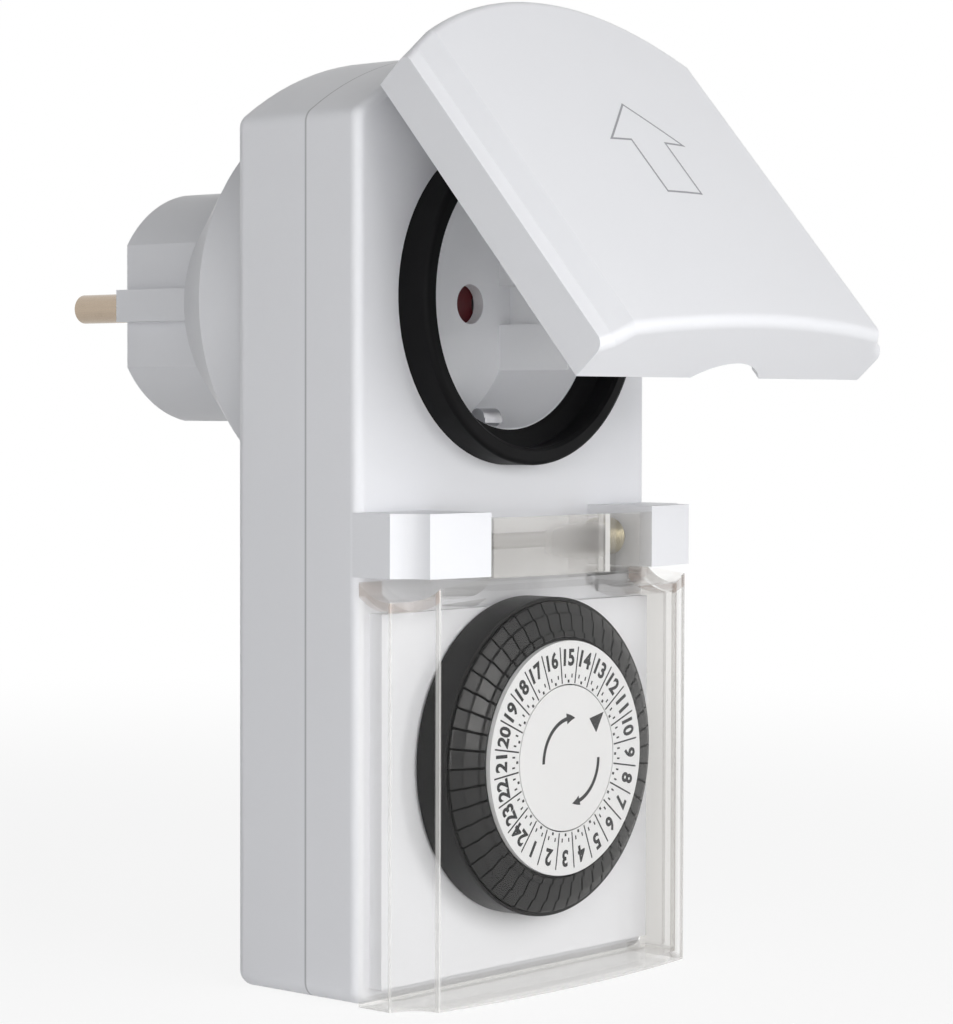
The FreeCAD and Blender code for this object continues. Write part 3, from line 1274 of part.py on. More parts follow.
def busbar_neutral():
    thick, reach = get("bar_thick"), get("bar_width") / 2
    pin_y = -get("plug_face_wall") - get("pin_head_depth") - thick
    sleeve_y = contact_start() + 2.0
    pin_ring, pin_hole = eyelet("neutral_pin_eye", pin_x, pin_y, 0, get("rivet_radius") + get("slip"),
                                get("eye_radius"))
    ring, hole = eyelet("neutral_sleeve_eye", pin_x, sleeve_y, 0, get("sleeve_outer") + get("slip"),
                        get("sleeve_outer") + 1.4)
    x_range = (pin_x - reach, pin_x + reach)
    low = -get("sleeve_outer") - 4.4
    tabs = [box("neutral_pin_tab", x_range, (pin_y, pin_y + thick), (low, 0)),
            box("neutral_sleeve_tab", x_range, (sleeve_y, sleeve_y + thick), (low, 0)),
            box("neutral_run", x_range, (sleeve_y, pin_y + thick), (low, low + thick))]
    return keep("busbar_neutral", cut("busbar_neutral_shape", fuse("neutral_mass", pin_ring, ring, *tabs), pin_hole, hole))


def busbar_live():
    thick, reach = get("bar_thick"), get("bar_width") / 2
    pin_y = -get("plug_face_wall") - get("pin_head_depth") - thick
    down_y = depth(get("live_bar_depth"))
    low = -get("sleeve_outer") - 4.4
    ring, hole = eyelet("live_pin_eye", -pin_x, pin_y, 0, get("rivet_radius") + get("slip"), get("eye_radius"))
    x_range = (-pin_x - reach, -pin_x + reach)
    cross_z = blade_root_z() + 7
    end_x = get("blade_x") - 1.5
    parts = [box("live_pin_tab", x_range, (pin_y, pin_y + thick), (low, 0)),
             box("live_run", x_range, (down_y, pin_y + thick), (low, low + thick)),
             box("live_down", x_range, (down_y, down_y + thick), (cross_z, low + thick)),
             box("live_cross", (-pin_x - reach, end_x), (down_y, down_y + thick), (cross_z, cross_z + 4)),
             box("live_forward", (end_x - thick, end_x), (depth(14), down_y + thick), (cross_z - 1.5, cross_z + 4)),
             box("live_foot", (end_x - thick, get("blade_x") + 1.4), (depth(14), depth(14) + thick),
                 (cross_z - 1.5, cross_z + 4))]
    return keep("busbar_live", cut("busbar_live_shape", fuse("live_mass", ring, *parts), hole))


def busbar_switched():
    thick, reach = get("bar_thick"), get("bar_width") / 2
    sleeve_y = contact_start() + 0.6
    ring, hole = eyelet("switched_eye", -pin_x, sleeve_y, 0, get("sleeve_outer") + get("slip"),
                        get("sleeve_outer") + 1.4)
    x_range = (-pin_x - reach, -pin_x + reach)
    cross_z = blade_root_z() + 13
    end_x = get("contact_x") + thick
    parts = [box("switched_down", x_range, (sleeve_y, sleeve_y + thick), (cross_z, -get("sleeve_outer"))),
             box("switched_cross", (-pin_x - reach, end_x), (sleeve_y, sleeve_y + thick), (cross_z, cross_z + 4)),
             box("switched_drop", (end_x - 4, end_x), (sleeve_y, sleeve_y + thick), (blade_root_z() + 5.6, cross_z)),
             box("switched_foot", (end_x - thick, end_x), (depth(12.6), sleeve_y + thick),
                 (blade_root_z() + 5.6, blade_root_z() + 9))]
    return keep("busbar_switched", cut("busbar_switched_shape", fuse("switched_mass", ring, *parts), hole))


def wire_along(points, radius):
    """A round wire along straight runs joined by tangent arcs."""
    edges = []
    last = points[0]
    for before, corner, after in zip(points, points[1:], points[2:]):
        run_in, run_out = corner - before, after - corner
        bend = 0.45 * min(run_in.Length, run_out.Length)
        start = corner - run_in.normalize() * bend
        end = corner + run_out.normalize() * bend
        middle_way = (start + end) * 0.5
        half_turn = (corner - start).getAngle(end - corner) / 2
        arc_radius = bend / math.tan(half_turn)
        to_centre = (middle_way - corner).normalize() * (arc_radius / math.cos(half_turn))
        centre = corner + to_centre
        middle = centre - to_centre.normalize() * arc_radius
        edges.append(Part.LineSegment(last, start).toShape())
        edges.append(Part.Arc(start, middle, end).toShape())
        last = end
    edges.append(Part.LineSegment(last, points[-1]).toShape())
    path = Part.Wire(edges)
    direction = (points[1] - points[0]).normalize()
    section = Part.Wire([Part.Circle(points[0], direction, radius).toShape()])
    return path.makePipeShell([section], True, False)


def motor_wires():
    """Two leads from the motor's rim to the live and neutral busbars."""
    x, z = (amount.value for amount in motor_place())
    rim_z = z + get("motor_radius").value
    y = motor_start().value
    live_y = depth(get("live_bar_depth")).value
    cross_z = blade_root_z().value + 7
    low = (-get("sleeve_outer") - 4.4).value
    radius = 0.6
    neutral_x = pin_x.value
    start_z = rim_z - 0.15
    neutral = [FreeCAD.Vector(x + 3, y + 5, start_z), FreeCAD.Vector(x + 3, y + 5, rim_z + 6),
               FreeCAD.Vector(13.5, y + 6.5, cross_z + 2), FreeCAD.Vector(13.6, y + 6.4, -22),
               FreeCAD.Vector(neutral_x, y + 9.5, -16), FreeCAD.Vector(neutral_x, y + 9.5, low - 0.02)]
    live = [FreeCAD.Vector(x - 3, y + 5, start_z), FreeCAD.Vector(x - 3, y + 5, rim_z + 5),
            FreeCAD.Vector(x - 4, live_y - 4.5, cross_z + 1.5), FreeCAD.Vector(x - 4, live_y - 0.02, cross_z + 1.5)]
    shapes = [wire_along(neutral, radius), wire_along(live, radius)]
    return shape_node("motor_leads", Part.makeCompound(shapes))


# Screws
def casing_screws():
    screws = []
    for index, (x, z) in enumerate(screw_places()):
        head_y = back - get("screw_head") - 0.3
        head = rod(f"screw_head_{index}", get("screw_head_radius"), x, head_y, z, get("screw_head"))
        shank = rod(f"screw_shank_{index}", get("screw_radius"), x, depth(wall + 1), z, head_y - depth(wall + 1) + 0.1)
        slot = box(f"screw_slot_{index}", (x - 2.2, x + 2.2), (head_y + 1.0, back + 1), (z - 0.35, z + 0.35))
        cross = box(f"screw_cross_{index}", (x - 0.35, x + 0.35), (head_y + 1.0, back + 1), (z - 2.2, z + 2.2))
        screws.append(cut(f"screw_{index}", fuse(f"screw_mass_{index}", head, shank), slot, cross))
    return keep("casing_screws", group("casing_screws_shape", *screws))


def movement_screws():
    screws = []
    for index, (x, z) in enumerate(pillar_places()):
        start = depth(get("plate_start") + get("plate_thick"))
        head = rod(f"movement_head_{index}", 2.2, x, start, z, 1.3)
        shank = rod(f"movement_shank_{index}", get("pillar_hole"), x, start - 7, z, 7.1)
        screws.append(fuse(f"movement_screw_{index}", head, shank))
    return keep("movement_screws", group("movement_screws_shape", *screws))


rear_casing()
casing_seal()
front_casing()
plug_pin("plug_pin_live", -1)
plug_pin("plug_pin_neutral", 1)
plug_earth_contact()
socket_insert()
socket_seal_ring()
contact_sleeve("socket_contact_live", -1)
contact_sleeve("socket_contact_neutral", 1)
socket_earth_bow()
socket_shutter()
shutter_frame()
lid()
lid_hinge_pin()
timer_cover()
cover_hinge_pin()
cover_spring()
dial_drum()
scale_ring()
centre_plate()
dial_axle()
tappets()
dial_gear()
intermediate_gear()
intermediate_axle()
motor_pinion()
movement_plate()
motor_housing()
motor_coil()
motor_rotor()
follower_lever()
lever_pin()
lever_bracket()
switch_base()
switch_pin()
switch_blade()
fixed_contact()
busbar_neutral()
busbar_live()
busbar_switched()
motor_leads = motor_wires()
casing_screws()
movement_screws()

doc.recompute()

failed = [thing.Name for thing in doc.Objects if "Invalid" in thing.State or "Error" in thing.State]
if failed:
    raise RuntimeError(f"these did not build: {failed}")
for name, thing in nodes.items():
    if thing.Shape.isNull() or not thing.Shape.isValid():
        raise RuntimeError(f"{name} has no valid shape")

os.makedirs("parts", exist_ok=True)
for name, thing in nodes.items():
    thing.Shape.exportStep(os.path.join("parts", name + ".step"))
    bounds = thing.Shape.BoundBox
    print(f"{name:26s} solids {len(thing.Shape.Solids):2d} volume {thing.Shape.Volume:10.2f}"
          f"  y {bounds.YMin:7.2f} {bounds.YMax:7.2f}  z {bounds.ZMin:7.2f} {bounds.ZMax:7.2f}")
print("nodes", len(nodes))
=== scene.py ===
"""Looks of a plug-in segment timer socket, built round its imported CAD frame."""
import math

import bmesh
import bpy
import numpy as np
from mathutils import Matrix, Vector


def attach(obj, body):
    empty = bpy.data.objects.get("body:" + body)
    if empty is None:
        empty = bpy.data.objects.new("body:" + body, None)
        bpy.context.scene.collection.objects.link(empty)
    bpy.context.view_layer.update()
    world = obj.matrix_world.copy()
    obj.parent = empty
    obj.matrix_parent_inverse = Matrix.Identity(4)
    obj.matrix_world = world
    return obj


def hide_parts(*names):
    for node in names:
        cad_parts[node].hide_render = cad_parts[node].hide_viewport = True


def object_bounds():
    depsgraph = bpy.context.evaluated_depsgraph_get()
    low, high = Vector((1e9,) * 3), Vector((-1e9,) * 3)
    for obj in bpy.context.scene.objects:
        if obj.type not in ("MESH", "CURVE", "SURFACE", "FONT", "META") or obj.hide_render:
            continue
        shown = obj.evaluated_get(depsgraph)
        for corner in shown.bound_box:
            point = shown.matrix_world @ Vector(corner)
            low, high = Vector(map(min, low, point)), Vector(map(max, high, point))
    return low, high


bl_info = {
    "name": "Timer Socket",
    "version": (1, 0, 0),
    "blender": (4, 5, 0),
    "location": "3D View > Sidebar > Timer Socket",
    "description": "Finishes, dial print, tappets, spring and studio for a plug-in segment timer",
    "category": "Object",
}

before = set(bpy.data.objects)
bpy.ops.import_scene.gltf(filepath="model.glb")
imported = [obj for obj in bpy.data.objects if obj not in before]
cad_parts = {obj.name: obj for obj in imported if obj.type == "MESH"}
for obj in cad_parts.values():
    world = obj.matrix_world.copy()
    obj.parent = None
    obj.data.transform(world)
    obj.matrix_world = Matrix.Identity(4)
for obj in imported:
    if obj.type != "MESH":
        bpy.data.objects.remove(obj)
CAD_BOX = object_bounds()

MM = 0.001

# Places that the CAD sets, in millimetres
FACE_Y = -68.4
SEAM_Y = -57.9
DIAL_Z = -69.2
LABEL_Y = -80.0
LID_HINGE_Z = 34.4
LID_FRONT = 12.5
LID_HALF_WIDTH = 29.6
LID_RISE = 2.3
COVER_PIN_Y = FACE_Y - 6.4
COVER_PIN_Z = -36.3
COVER_FRONT_Y = -79.4
COVER_CORNER_X = 28.95
COVER_SIDE_X = 33.45
COVER_TAB_Z = -41.25
COVER_FOOT_Z = -103.05
COVER_ROOF_RADIUS = 8.9
DIVIDER_X = 6.8

# The print lies just in front of the label and stands out by PRINT_RISE, as the arrow on the lid does
PRINT_Y = LABEL_Y - 0.004
PRINT_RISE = 0.02

# The dial's numbers, and the degrees that it stands turned by
HOURS = 24
HOUR_STEP = 360.0 / HOURS
HOUR_ON_TOP = 15
DIAL_TURN = 1.5
NUMBER_BOLD = 0.034
NUMBER_SQUEEZE = 0.92

# The tappets; the ones numbered on from FIRST_SINGLE slide on their own
TAPPETS = 48
FIRST_SINGLE = 18
SINGLES = 12
TAPPET_GAP = 0.35

# The lid's opening in degrees
LID_OPEN = 41.0

# The photograph's view: place in metres, then azimuth, pitch and roll in degrees; lights aim at LIGHT_TARGET
CAMERA_PLACE = (-0.354136, -0.371219, -0.016086)
CAMERA_TURN = (-48.84972, 1.998329, 0.129325)
CAMERA_LENS = 107.1
LIGHT_TARGET = (0.0, -0.07, -0.03)


# Meshes from whole arrays
def shown(name, points, faces, smooth=True):
    """An object at the origin from a vertex array in millimetres and a list of faces."""
    mesh = bpy.data.meshes.new(name)
    mesh.from_pydata((np.asarray(points, float).reshape(-1, 3) * MM).tolist(), [], faces)
    mesh.validate()
    mesh.polygons.foreach_set("use_smooth", np.full(len(mesh.polygons), smooth))
    mesh.update()
    thing = bpy.data.objects.new(name, mesh)
    bpy.context.scene.collection.objects.link(thing)
    return thing


def grid_faces(rows, columns, wrap_rows=False, wrap_columns=False, start=0):
    """Quads between neighbouring rows and columns of a grid that is numbered row by row."""
    row = np.arange(rows if wrap_rows else rows - 1)[:, None]
    column = np.arange(columns if wrap_columns else columns - 1)[None, :]
    after_row = (row + 1) % rows
    after_column = (column + 1) % columns
    quads = np.stack([row * columns + column, row * columns + after_column,
                      after_row * columns + after_column, after_row * columns + column], axis=-1)
    return (quads.reshape(-1, 4) + start).tolist()


def blocks_faces(count, start=0):
    """The six faces of each of many eight-cornered blocks, corners numbered inner four then outer four."""
    one = np.array([[0, 3, 2, 1], [4, 5, 6, 7], [0, 1, 5, 4], [1, 2, 6, 5], [2, 3, 7, 6], [3, 0, 4, 7]])
    return (one[None, :, :] + 8 * np.arange(count)[:, None, None] + start).reshape(-1, 4).tolist()


def tube(path, radius, sides=12):
    """A round wire: at each point of the path a circle in the plane square to it, with flat ends."""
    path = np.asarray(path, float)
    along = np.gradient(path, axis=0)
    along /= np.linalg.norm(along, axis=1)[:, None]
    across = np.array([1.0, 0.0, 0.0]) - along * along[:, :1]
    across /= np.linalg.norm(across, axis=1)[:, None]
    upward = np.cross(along, across)
    turn = np.linspace(0, 2 * np.pi, sides, endpoint=False)
    cos, sin = np.cos(turn)[None, :, None], np.sin(turn)[None, :, None]
    circle = across[:, None, :] * cos + upward[:, None, :] * sin
    points = (path[:, None, :] + radius * circle).reshape(-1, 3)
    faces = grid_faces(len(path), sides, wrap_columns=True)
    last = (len(path) - 1) * sides
    faces.append(list(range(sides))[::-1])
    faces.append([last + number for number in range(sides)])
    return points, faces


# Shader maths written as expressions
class Amount:
    """A number that varies over a surface; each operator adds its Math node."""

    def __init__(self, nodes, socket):
        self.nodes = nodes
        self.socket = socket

    def maths(self, operation, *parts):
        node = self.nodes.add("ShaderNodeMath", {"operation": operation}, dict(enumerate(parts)))
        return Amount(self.nodes, node.outputs[0])

    def __add__(self, other):
        return self.maths("ADD", self, other)

    __radd__ = __add__

    def __mul__(self, other):
        return self.maths("MULTIPLY", self, other)

    __rmul__ = __mul__

    def __sub__(self, other):
        return self.maths("SUBTRACT", self, other)

    def __rsub__(self, other):
        return self.maths("SUBTRACT", other, self)

    def __pow__(self, other):
        return self.maths("POWER", self, other)

    def __abs__(self):
        return self.maths("ABSOLUTE", self)

    def wave(self):
        return self.maths("SINE", self)

    def larger(self, other):
        return self.maths("MAXIMUM", self, other)

    def smaller(self, other):
        return self.maths("MINIMUM", self, other)


class Nodes:
    """The nodes of one material or of the world."""

    def __init__(self, tree, output):
        self.tree = tree
        self.tree.nodes.clear()
        self.output = self.add(output)

    def add(self, kind, settings=None, inputs=None):
        """A node of one kind: its settings first, then the value or link of each socket."""
        node = self.tree.nodes.new(kind)
        for key, value in (settings or {}).items():
            setattr(node, key, value)
        for key, value in (inputs or {}).items():
            socket = node.inputs[key]
            if isinstance(value, Amount):
                self.tree.links.new(value.socket, socket)
            elif isinstance(value, bpy.types.NodeSocket):
                self.tree.links.new(value, socket)
            else:
                socket.default_value = value
        return node

    def seen(self):
        """1 for what the camera sees straight, by reflection or through the clear cover, otherwise 0."""
        path = self.add("ShaderNodeLightPath")
        straight, glossy, through = (Amount(self, path.outputs[f"Is {kind} Ray"])
                                     for kind in ("Camera", "Glossy", "Transmission"))
        return straight.larger(glossy).larger(through)

    def close(self, shader):
        """Lead a shader to the output."""
        self.tree.links.new(shader.outputs[0], self.output.inputs["Surface"])


class Finish(Nodes):
    """One material and the nodes that make it."""

    def __init__(self, name):
        self.material = bpy.data.materials.new(name)
        self.material.use_nodes = True
        super().__init__(self.material.node_tree, "ShaderNodeOutputMaterial")
        place = self.add("ShaderNodeTexCoord")
        self.place = place.outputs["Object"]
        parts = self.add("ShaderNodeSeparateXYZ", inputs={0: self.place})
        self.x, self.y, self.z = (Amount(self, parts.outputs[number]) for number in range(3))

    def stretched(self, scale):
        """The place on the surface, stretched before a pattern reads it."""
        node = self.add("ShaderNodeMapping", {"vector_type": "POINT"}, {"Vector": self.place, "Scale": scale})
        return node.outputs[0]

    def noise(self, scale, detail=2.0, roughness=0.5, vector=None):
        """Soft noise between 0 and 1, whose cells are about 1 / scale metres."""
        node = self.add("ShaderNodeTexNoise", {"noise_dimensions": "3D"},
                        {"Vector": vector or self.place, "Scale": scale, "Detail": detail,
                         "Roughness": roughness})
        return Amount(self, node.outputs[0])

    def cells(self, scale):
        """Distance to the nearest cell centre of a Voronoi pattern."""
        node = self.add("ShaderNodeTexVoronoi", {"feature": "F1"}, {"Vector": self.place, "Scale": scale})
        return Amount(self, node.outputs[0])

    def between(self, value, low, high, start=0.0, end=1.0):
        """Goes smoothly from start to end as the value goes from low to high."""
        node = self.add("ShaderNodeMapRange", {"interpolation_type": "SMOOTHSTEP"},
                        {0: value, 1: low, 2: high, 3: start, 4: end})
        return Amount(self, node.outputs[0])

    def near(self, value, place, inner, outer):
        """1 within a distance of a place, 0 past a greater one, all in millimetres."""
        return self.between(abs(value - place * MM), inner * MM, outer * MM, 1.0, 0.0)

    def past(self, value, place, fade):
        """0 before a place and 1 after it, with a fade of the given half width, in millimetres."""
        return self.between(value, (place - fade) * MM, (place + fade) * MM)

    def before(self, value, place, fade):
        """1 before a place and 0 after it, with a fade of the given half width, in millimetres."""
        return self.between(value, (place - fade) * MM, (place + fade) * MM, 1.0, 0.0)

    def mixed(self, factor, first, second):
        """Two colours mixed by a factor."""
        node = self.add("ShaderNodeMix", {"data_type": "RGBA", "blend_type": "MIX", "clamp_factor": True},
                        {0: factor, 6: first, 7: second})
        return node.outputs[2]

    def bump(self, height, distance, strength=1.0):
        """A relief of the given height in metres."""
        return self.add("ShaderNodeBump", inputs={"Height": height, "Distance": distance,
                                                  "Strength": strength}).outputs[0]

    def surface(self, **sockets):
        """The shader itself; a socket's name is written with underscores."""
        named = {key.replace("_", " "): value for key, value in sockets.items()}
        return self.add("ShaderNodeBsdfPrincipled", inputs=named)

    def done(self, shader):
        """The material, once its shader leads to the output."""
        self.close(shader)
        return self.material


def opaque(colour):
    """A colour with its alpha at one."""
    return (*tuple(colour)[:3], 1.0)


def scaled(colour, amount):
    """A darker or lighter colour with its alpha at one."""
    return (*(min(1.0, part * amount) for part in tuple(colour)[:3]), 1.0)


def moulded_plastic(name, colour, roughness=0.36, seam=False, grain=0.35):
    """Injection-moulded plastic: a fine eroded grain, faint clouding, and perhaps a dark parting line."""
    finish = Finish(name)
    cloud = finish.noise(28.0, 3.0)
    base = finish.mixed(cloud, scaled(colour, 0.985), scaled(colour, 1.012))
    if seam:
        line = finish.near(finish.y, SEAM_Y, 0.08, 0.26)
        base = finish.mixed(line * 0.62, base, scaled(colour, 0.30))
    fine = finish.noise(2600.0, 2.0, 0.6)
    pits = finish.cells(1900.0)
    relief = fine * 0.6 + pits * 0.4
    gloss = finish.between(finish.noise(180.0, 3.0), 0.3, 0.7, roughness - 0.02, roughness + 0.025)
    shader = finish.surface(Base_Color=base, Roughness=gloss, IOR=1.5, Specular_IOR_Level=0.45,
                            Normal=finish.bump(relief, 0.00002, grain))
    return finish.done(shader)


def black_rubber(name, colour, roughness=0.5):
    """Satin elastomer: fine skin, faint dust in the low places, slight sheen."""
    finish = Finish(name)
    skin = finish.noise(1500.0, 3.0, 0.6)
    dust = finish.between(finish.noise(220.0, 4.0), 0.55, 0.8)
    base = finish.mixed(dust * 0.3, opaque(colour), scaled(colour, 2.0))
    gloss = finish.between(finish.noise(90.0, 2.0), 0.3, 0.7, roughness - 0.06, roughness + 0.08)
    shader = finish.surface(Base_Color=base, Roughness=gloss, IOR=1.5, Specular_IOR_Level=0.08,
                            Normal=finish.bump(skin, 0.00003, 0.5))
    return finish.done(shader)


def drawn_metal(name, colour, roughness=0.28, stretch=(9000.0, 60.0, 9000.0), tarnish=0.25):
    """Turned or drawn metal: fine lines along its length and a slight tarnish."""
    finish = Finish(name)
    lines = finish.noise(1.0, 3.0, 0.6, finish.stretched(stretch))
    spots = finish.between(finish.noise(420.0, 4.0, 0.6), 0.52, 0.75)
    base = finish.mixed(spots * tarnish, opaque(colour), scaled(colour, 0.72))
    gloss = finish.between(lines, 0.25, 0.75, roughness - 0.07, roughness + 0.1)
    shader = finish.surface(Base_Color=base, Metallic=1.0, Roughness=gloss,
                            Normal=finish.bump(lines, 0.00001, 0.5))
    return finish.done(shader)


def stamped_metal(name, colour, roughness=0.32, tarnish=0.3):
    """Stamped strip: even satin with rolled marks and duller patches."""
    finish = Finish(name)
    rolled = finish.noise(1.0, 2.0, 0.5, finish.stretched((400.0, 5000.0, 400.0)))
    patch = finish.between(finish.noise(260.0, 3.0), 0.45, 0.7)
    base = finish.mixed(patch * tarnish, opaque(colour), scaled(colour, 0.66))
    gloss = finish.between(patch, 0.0, 1.0, roughness, roughness + 0.14)
    shader = finish.surface(Base_Color=base, Metallic=1.0, Roughness=gloss,
                            Normal=finish.bump(rolled, 0.00001, 0.4))
    return finish.done(shader)


def wound_copper(name, colour):
    """Enamelled winding: turns lying side by side along the motor's axis."""
    finish = Finish(name)
    turns = (finish.y * (2 * math.pi / 0.00026)).wave() * 0.5 + 0.5
    streak = finish.noise(900.0, 2.0)
    base = finish.mixed(turns * (0.6 + 0.4 * streak), scaled(colour, 0.45), opaque(colour))
    shader = finish.surface(Base_Color=base, Metallic=0.85, Roughness=finish.between(turns, 0, 1, 0.42, 0.25),
                            Normal=finish.bump(turns, 0.0001, 0.8))
    return finish.done(shader)


def satin_black(name, colour, roughness=0.3, shine=0.25):
    """Dark moulded plastic with a smooth skin and faint flow clouding."""
    finish = Finish(name)
    cloud = finish.noise(150.0, 3.0)
    base = finish.mixed(cloud, scaled(colour, 0.85), scaled(colour, 1.2))
    gloss = finish.between(finish.noise(120.0, 2.0), 0.3, 0.7, roughness - 0.02, roughness + 0.02)
    shader = finish.surface(Base_Color=base, Roughness=gloss, IOR=1.52, Specular_IOR_Level=shine,
                            Normal=finish.bump(finish.noise(700.0, 2.0), 0.00001, 0.03))
    return finish.done(shader)


def printed_label(name, colour):
    """Satin film label: a smooth sheet with very fine paper tooth."""
    finish = Finish(name)
    tooth = finish.noise(3500.0, 2.0, 0.6)
    base = finish.mixed(finish.noise(60.0, 2.0), scaled(colour, 0.985), scaled(colour, 1.01))
    shader = finish.surface(Base_Color=base, Roughness=finish.between(tooth, 0.2, 0.8, 0.42, 0.52),
                            Specular_IOR_Level=0.4, Normal=finish.bump(tooth, 0.000006, 0.4))
    return finish.done(shader)


def printing_ink(name, colour, cover=0.97):
    """Screen-printed ink: solid, with tiny thin places."""
    finish = Finish(name)
    thin = finish.between(finish.noise(5200.0, 2.0, 0.7), 0.62, 0.8)
    base = finish.mixed(thin * (1 - cover), opaque(colour), (0.5, 0.5, 0.5, 1.0))
    shader = finish.surface(Base_Color=base, Roughness=finish.between(thin, 0, 1, 0.4, 0.6),
                            Specular_IOR_Level=0.35)
    return finish.done(shader)


def clear_plastic(name, colour, haze):
    """Clear moulded plastic: see-through with a faint warm tint, mirror-like at a slant, with painted light
    and shade at its edges.

    The creases beside the hollow corners, the outer ledge and the bottom edge carry painted highlight lines,
    the right side wall carries painted shade, the tab between the hinge blocks is milky with a painted
    highlight line by the divider, and the roof shows as a brownish band at the sides.
    """
    finish = Finish(name)
    flow = finish.noise(45.0, 2.0, 0.5, finish.stretched((1.0, 1.0, 0.25)))
    wavy = finish.bump(flow, 0.0003, 0.25)
    scuff = finish.between(finish.noise(900.0, 4.0, 0.7), 0.6, 0.9)
    aside = abs(finish.x)
    front = finish.before(finish.y, COVER_FRONT_Y, 0.2)
    # Painted highlights: milky lines along the crease beside each hollow corner, the outer ledge and the
    # bottom edge stand in for the light that these edges catch
    crease_highlight = finish.near(aside, COVER_CORNER_X, 0.1, 0.42) * front
    ledge_highlight = finish.near(finish.y, COVER_PIN_Y, 0.1, 0.4) * finish.past(aside, COVER_SIDE_X, 0.15)
    foot = finish.before(finish.z, COVER_FOOT_Z, 0.45)
    # Painted shade: the right side wall is greyed, standing in for the darker tones that the thick wall's
    # refraction gives it
    side = finish.past(finish.x, COVER_CORNER_X + 0.15, 0.3)
    tab = finish.past(finish.z, COVER_TAB_Z, 0.15)
    pin_near = (finish.near(finish.z, COVER_PIN_Z, 1.2, 3.2) * finish.between(finish.x, -10.5 * MM, 4.5 * MM)
                * tab * finish.before(finish.x, DIVIDER_X - 0.65, 0.15))
    past_divider = finish.past(finish.x, DIVIDER_X + 0.55, 0.15)
    # Painted highlight: a bright milky line on the tab's front, standing in for the divider wall seen edge-on
    divider_highlight = finish.near(finish.x, DIVIDER_X, 0.5, 0.7) * tab * front
    pin_y, pin_z = finish.y - COVER_PIN_Y * MM, finish.z - COVER_PIN_Z * MM
    round_pin = (pin_y * pin_y + pin_z * pin_z) ** 0.5
    roof = finish.near(round_pin, COVER_ROOF_RADIUS, 0.6, 0.9)
    band = roof * finish.past(aside, COVER_CORNER_X - 0.1, 0.35)
    # The milky colour carries the painted light and shade of the masks above, the brownish roof band, the
    # tab's haze and the dark patch before the pin
    haze_and_painted_light = finish.mixed(band, (0.80, 0.79, 0.77, 1.0), (0.52, 0.42, 0.36, 1.0))
    haze_and_painted_light = finish.mixed(side * (1 - band), haze_and_painted_light, (0.60, 0.57, 0.54, 1.0))
    haze_and_painted_light = finish.mixed(tab * (1 - divider_highlight), haze_and_painted_light, (0.66, 0.64, 0.61, 1.0))
    haze_and_painted_light = finish.mixed(pin_near * 0.8, haze_and_painted_light, (0.20, 0.19, 0.18, 1.0))
    through = finish.add("ShaderNodeBsdfTransparent", inputs={"Color": opaque(colour)})
    skin = finish.surface(Base_Color=haze_and_painted_light, Roughness=0.06 + scuff * 0.12, IOR=1.49,
                          Specular_IOR_Level=0.5, Normal=wavy)
    slant = finish.add("ShaderNodeLayerWeight", inputs={"Blend": 0.5, "Normal": wavy})
    slope = Amount(finish, slant.outputs["Facing"])
    gloss = finish.add("ShaderNodeBsdfGlossy",
                       inputs={"Color": (1.0, 1.0, 1.0, 1.0), "Roughness": 0.05, "Normal": wavy})
    clear = finish.add("ShaderNodeMixShader", inputs={0: slope ** 5 * 0.8 + 0.007,
                                                     1: through.outputs[0], 2: gloss.outputs[0]})
    # Painted highlights at the creases, ledge, bottom and divider and painted shade on the right side, mixed
    # with the tab's haze, the roof band and the patch before the pin
    edges = (crease_highlight * 0.6 + ledge_highlight * 0.35 + foot * 0.35 + band * 0.3 + side * 0.26
             + tab * (0.34 - past_divider * 0.26) + divider_highlight * 0.4 + pin_near * 0.25)
    amount = (slope ** 6 * 0.3 + haze + scuff * 0.007 + edges).smaller(0.85)
    whole = finish.add("ShaderNodeMixShader", inputs={0: amount, 1: clear.outputs[0], 2: skin.outputs[0]})
    return finish.done(whole)


def wire_cover(name, colour):
    """Soft wire insulation with a slight sheen."""
    finish = Finish(name)
    skin = finish.noise(1800.0, 2.0)
    base = finish.mixed(skin, scaled(colour, 0.85), scaled(colour, 1.12))
    shader = finish.surface(Base_Color=base, Roughness=finish.between(skin, 0.2, 0.8, 0.38, 0.5),
                            Normal=finish.bump(skin, 0.00002, 0.4))
    return finish.done(shader)


# Sizes and colours that a user would change
def length(name, description, default, low=0.0, high=100.0):
    """A number that a user can set; its description names the unit."""
    return bpy.props.FloatProperty(name=name, description=description, default=default, min=low, max=high,
                                   subtype="NONE", unit="NONE")


def tint(name, description, default):
    """A colour that a user can set."""
    return bpy.props.FloatVectorProperty(name=name, description=description, default=default, size=3,
                                         min=0.0, max=1.0, subtype="COLOR")


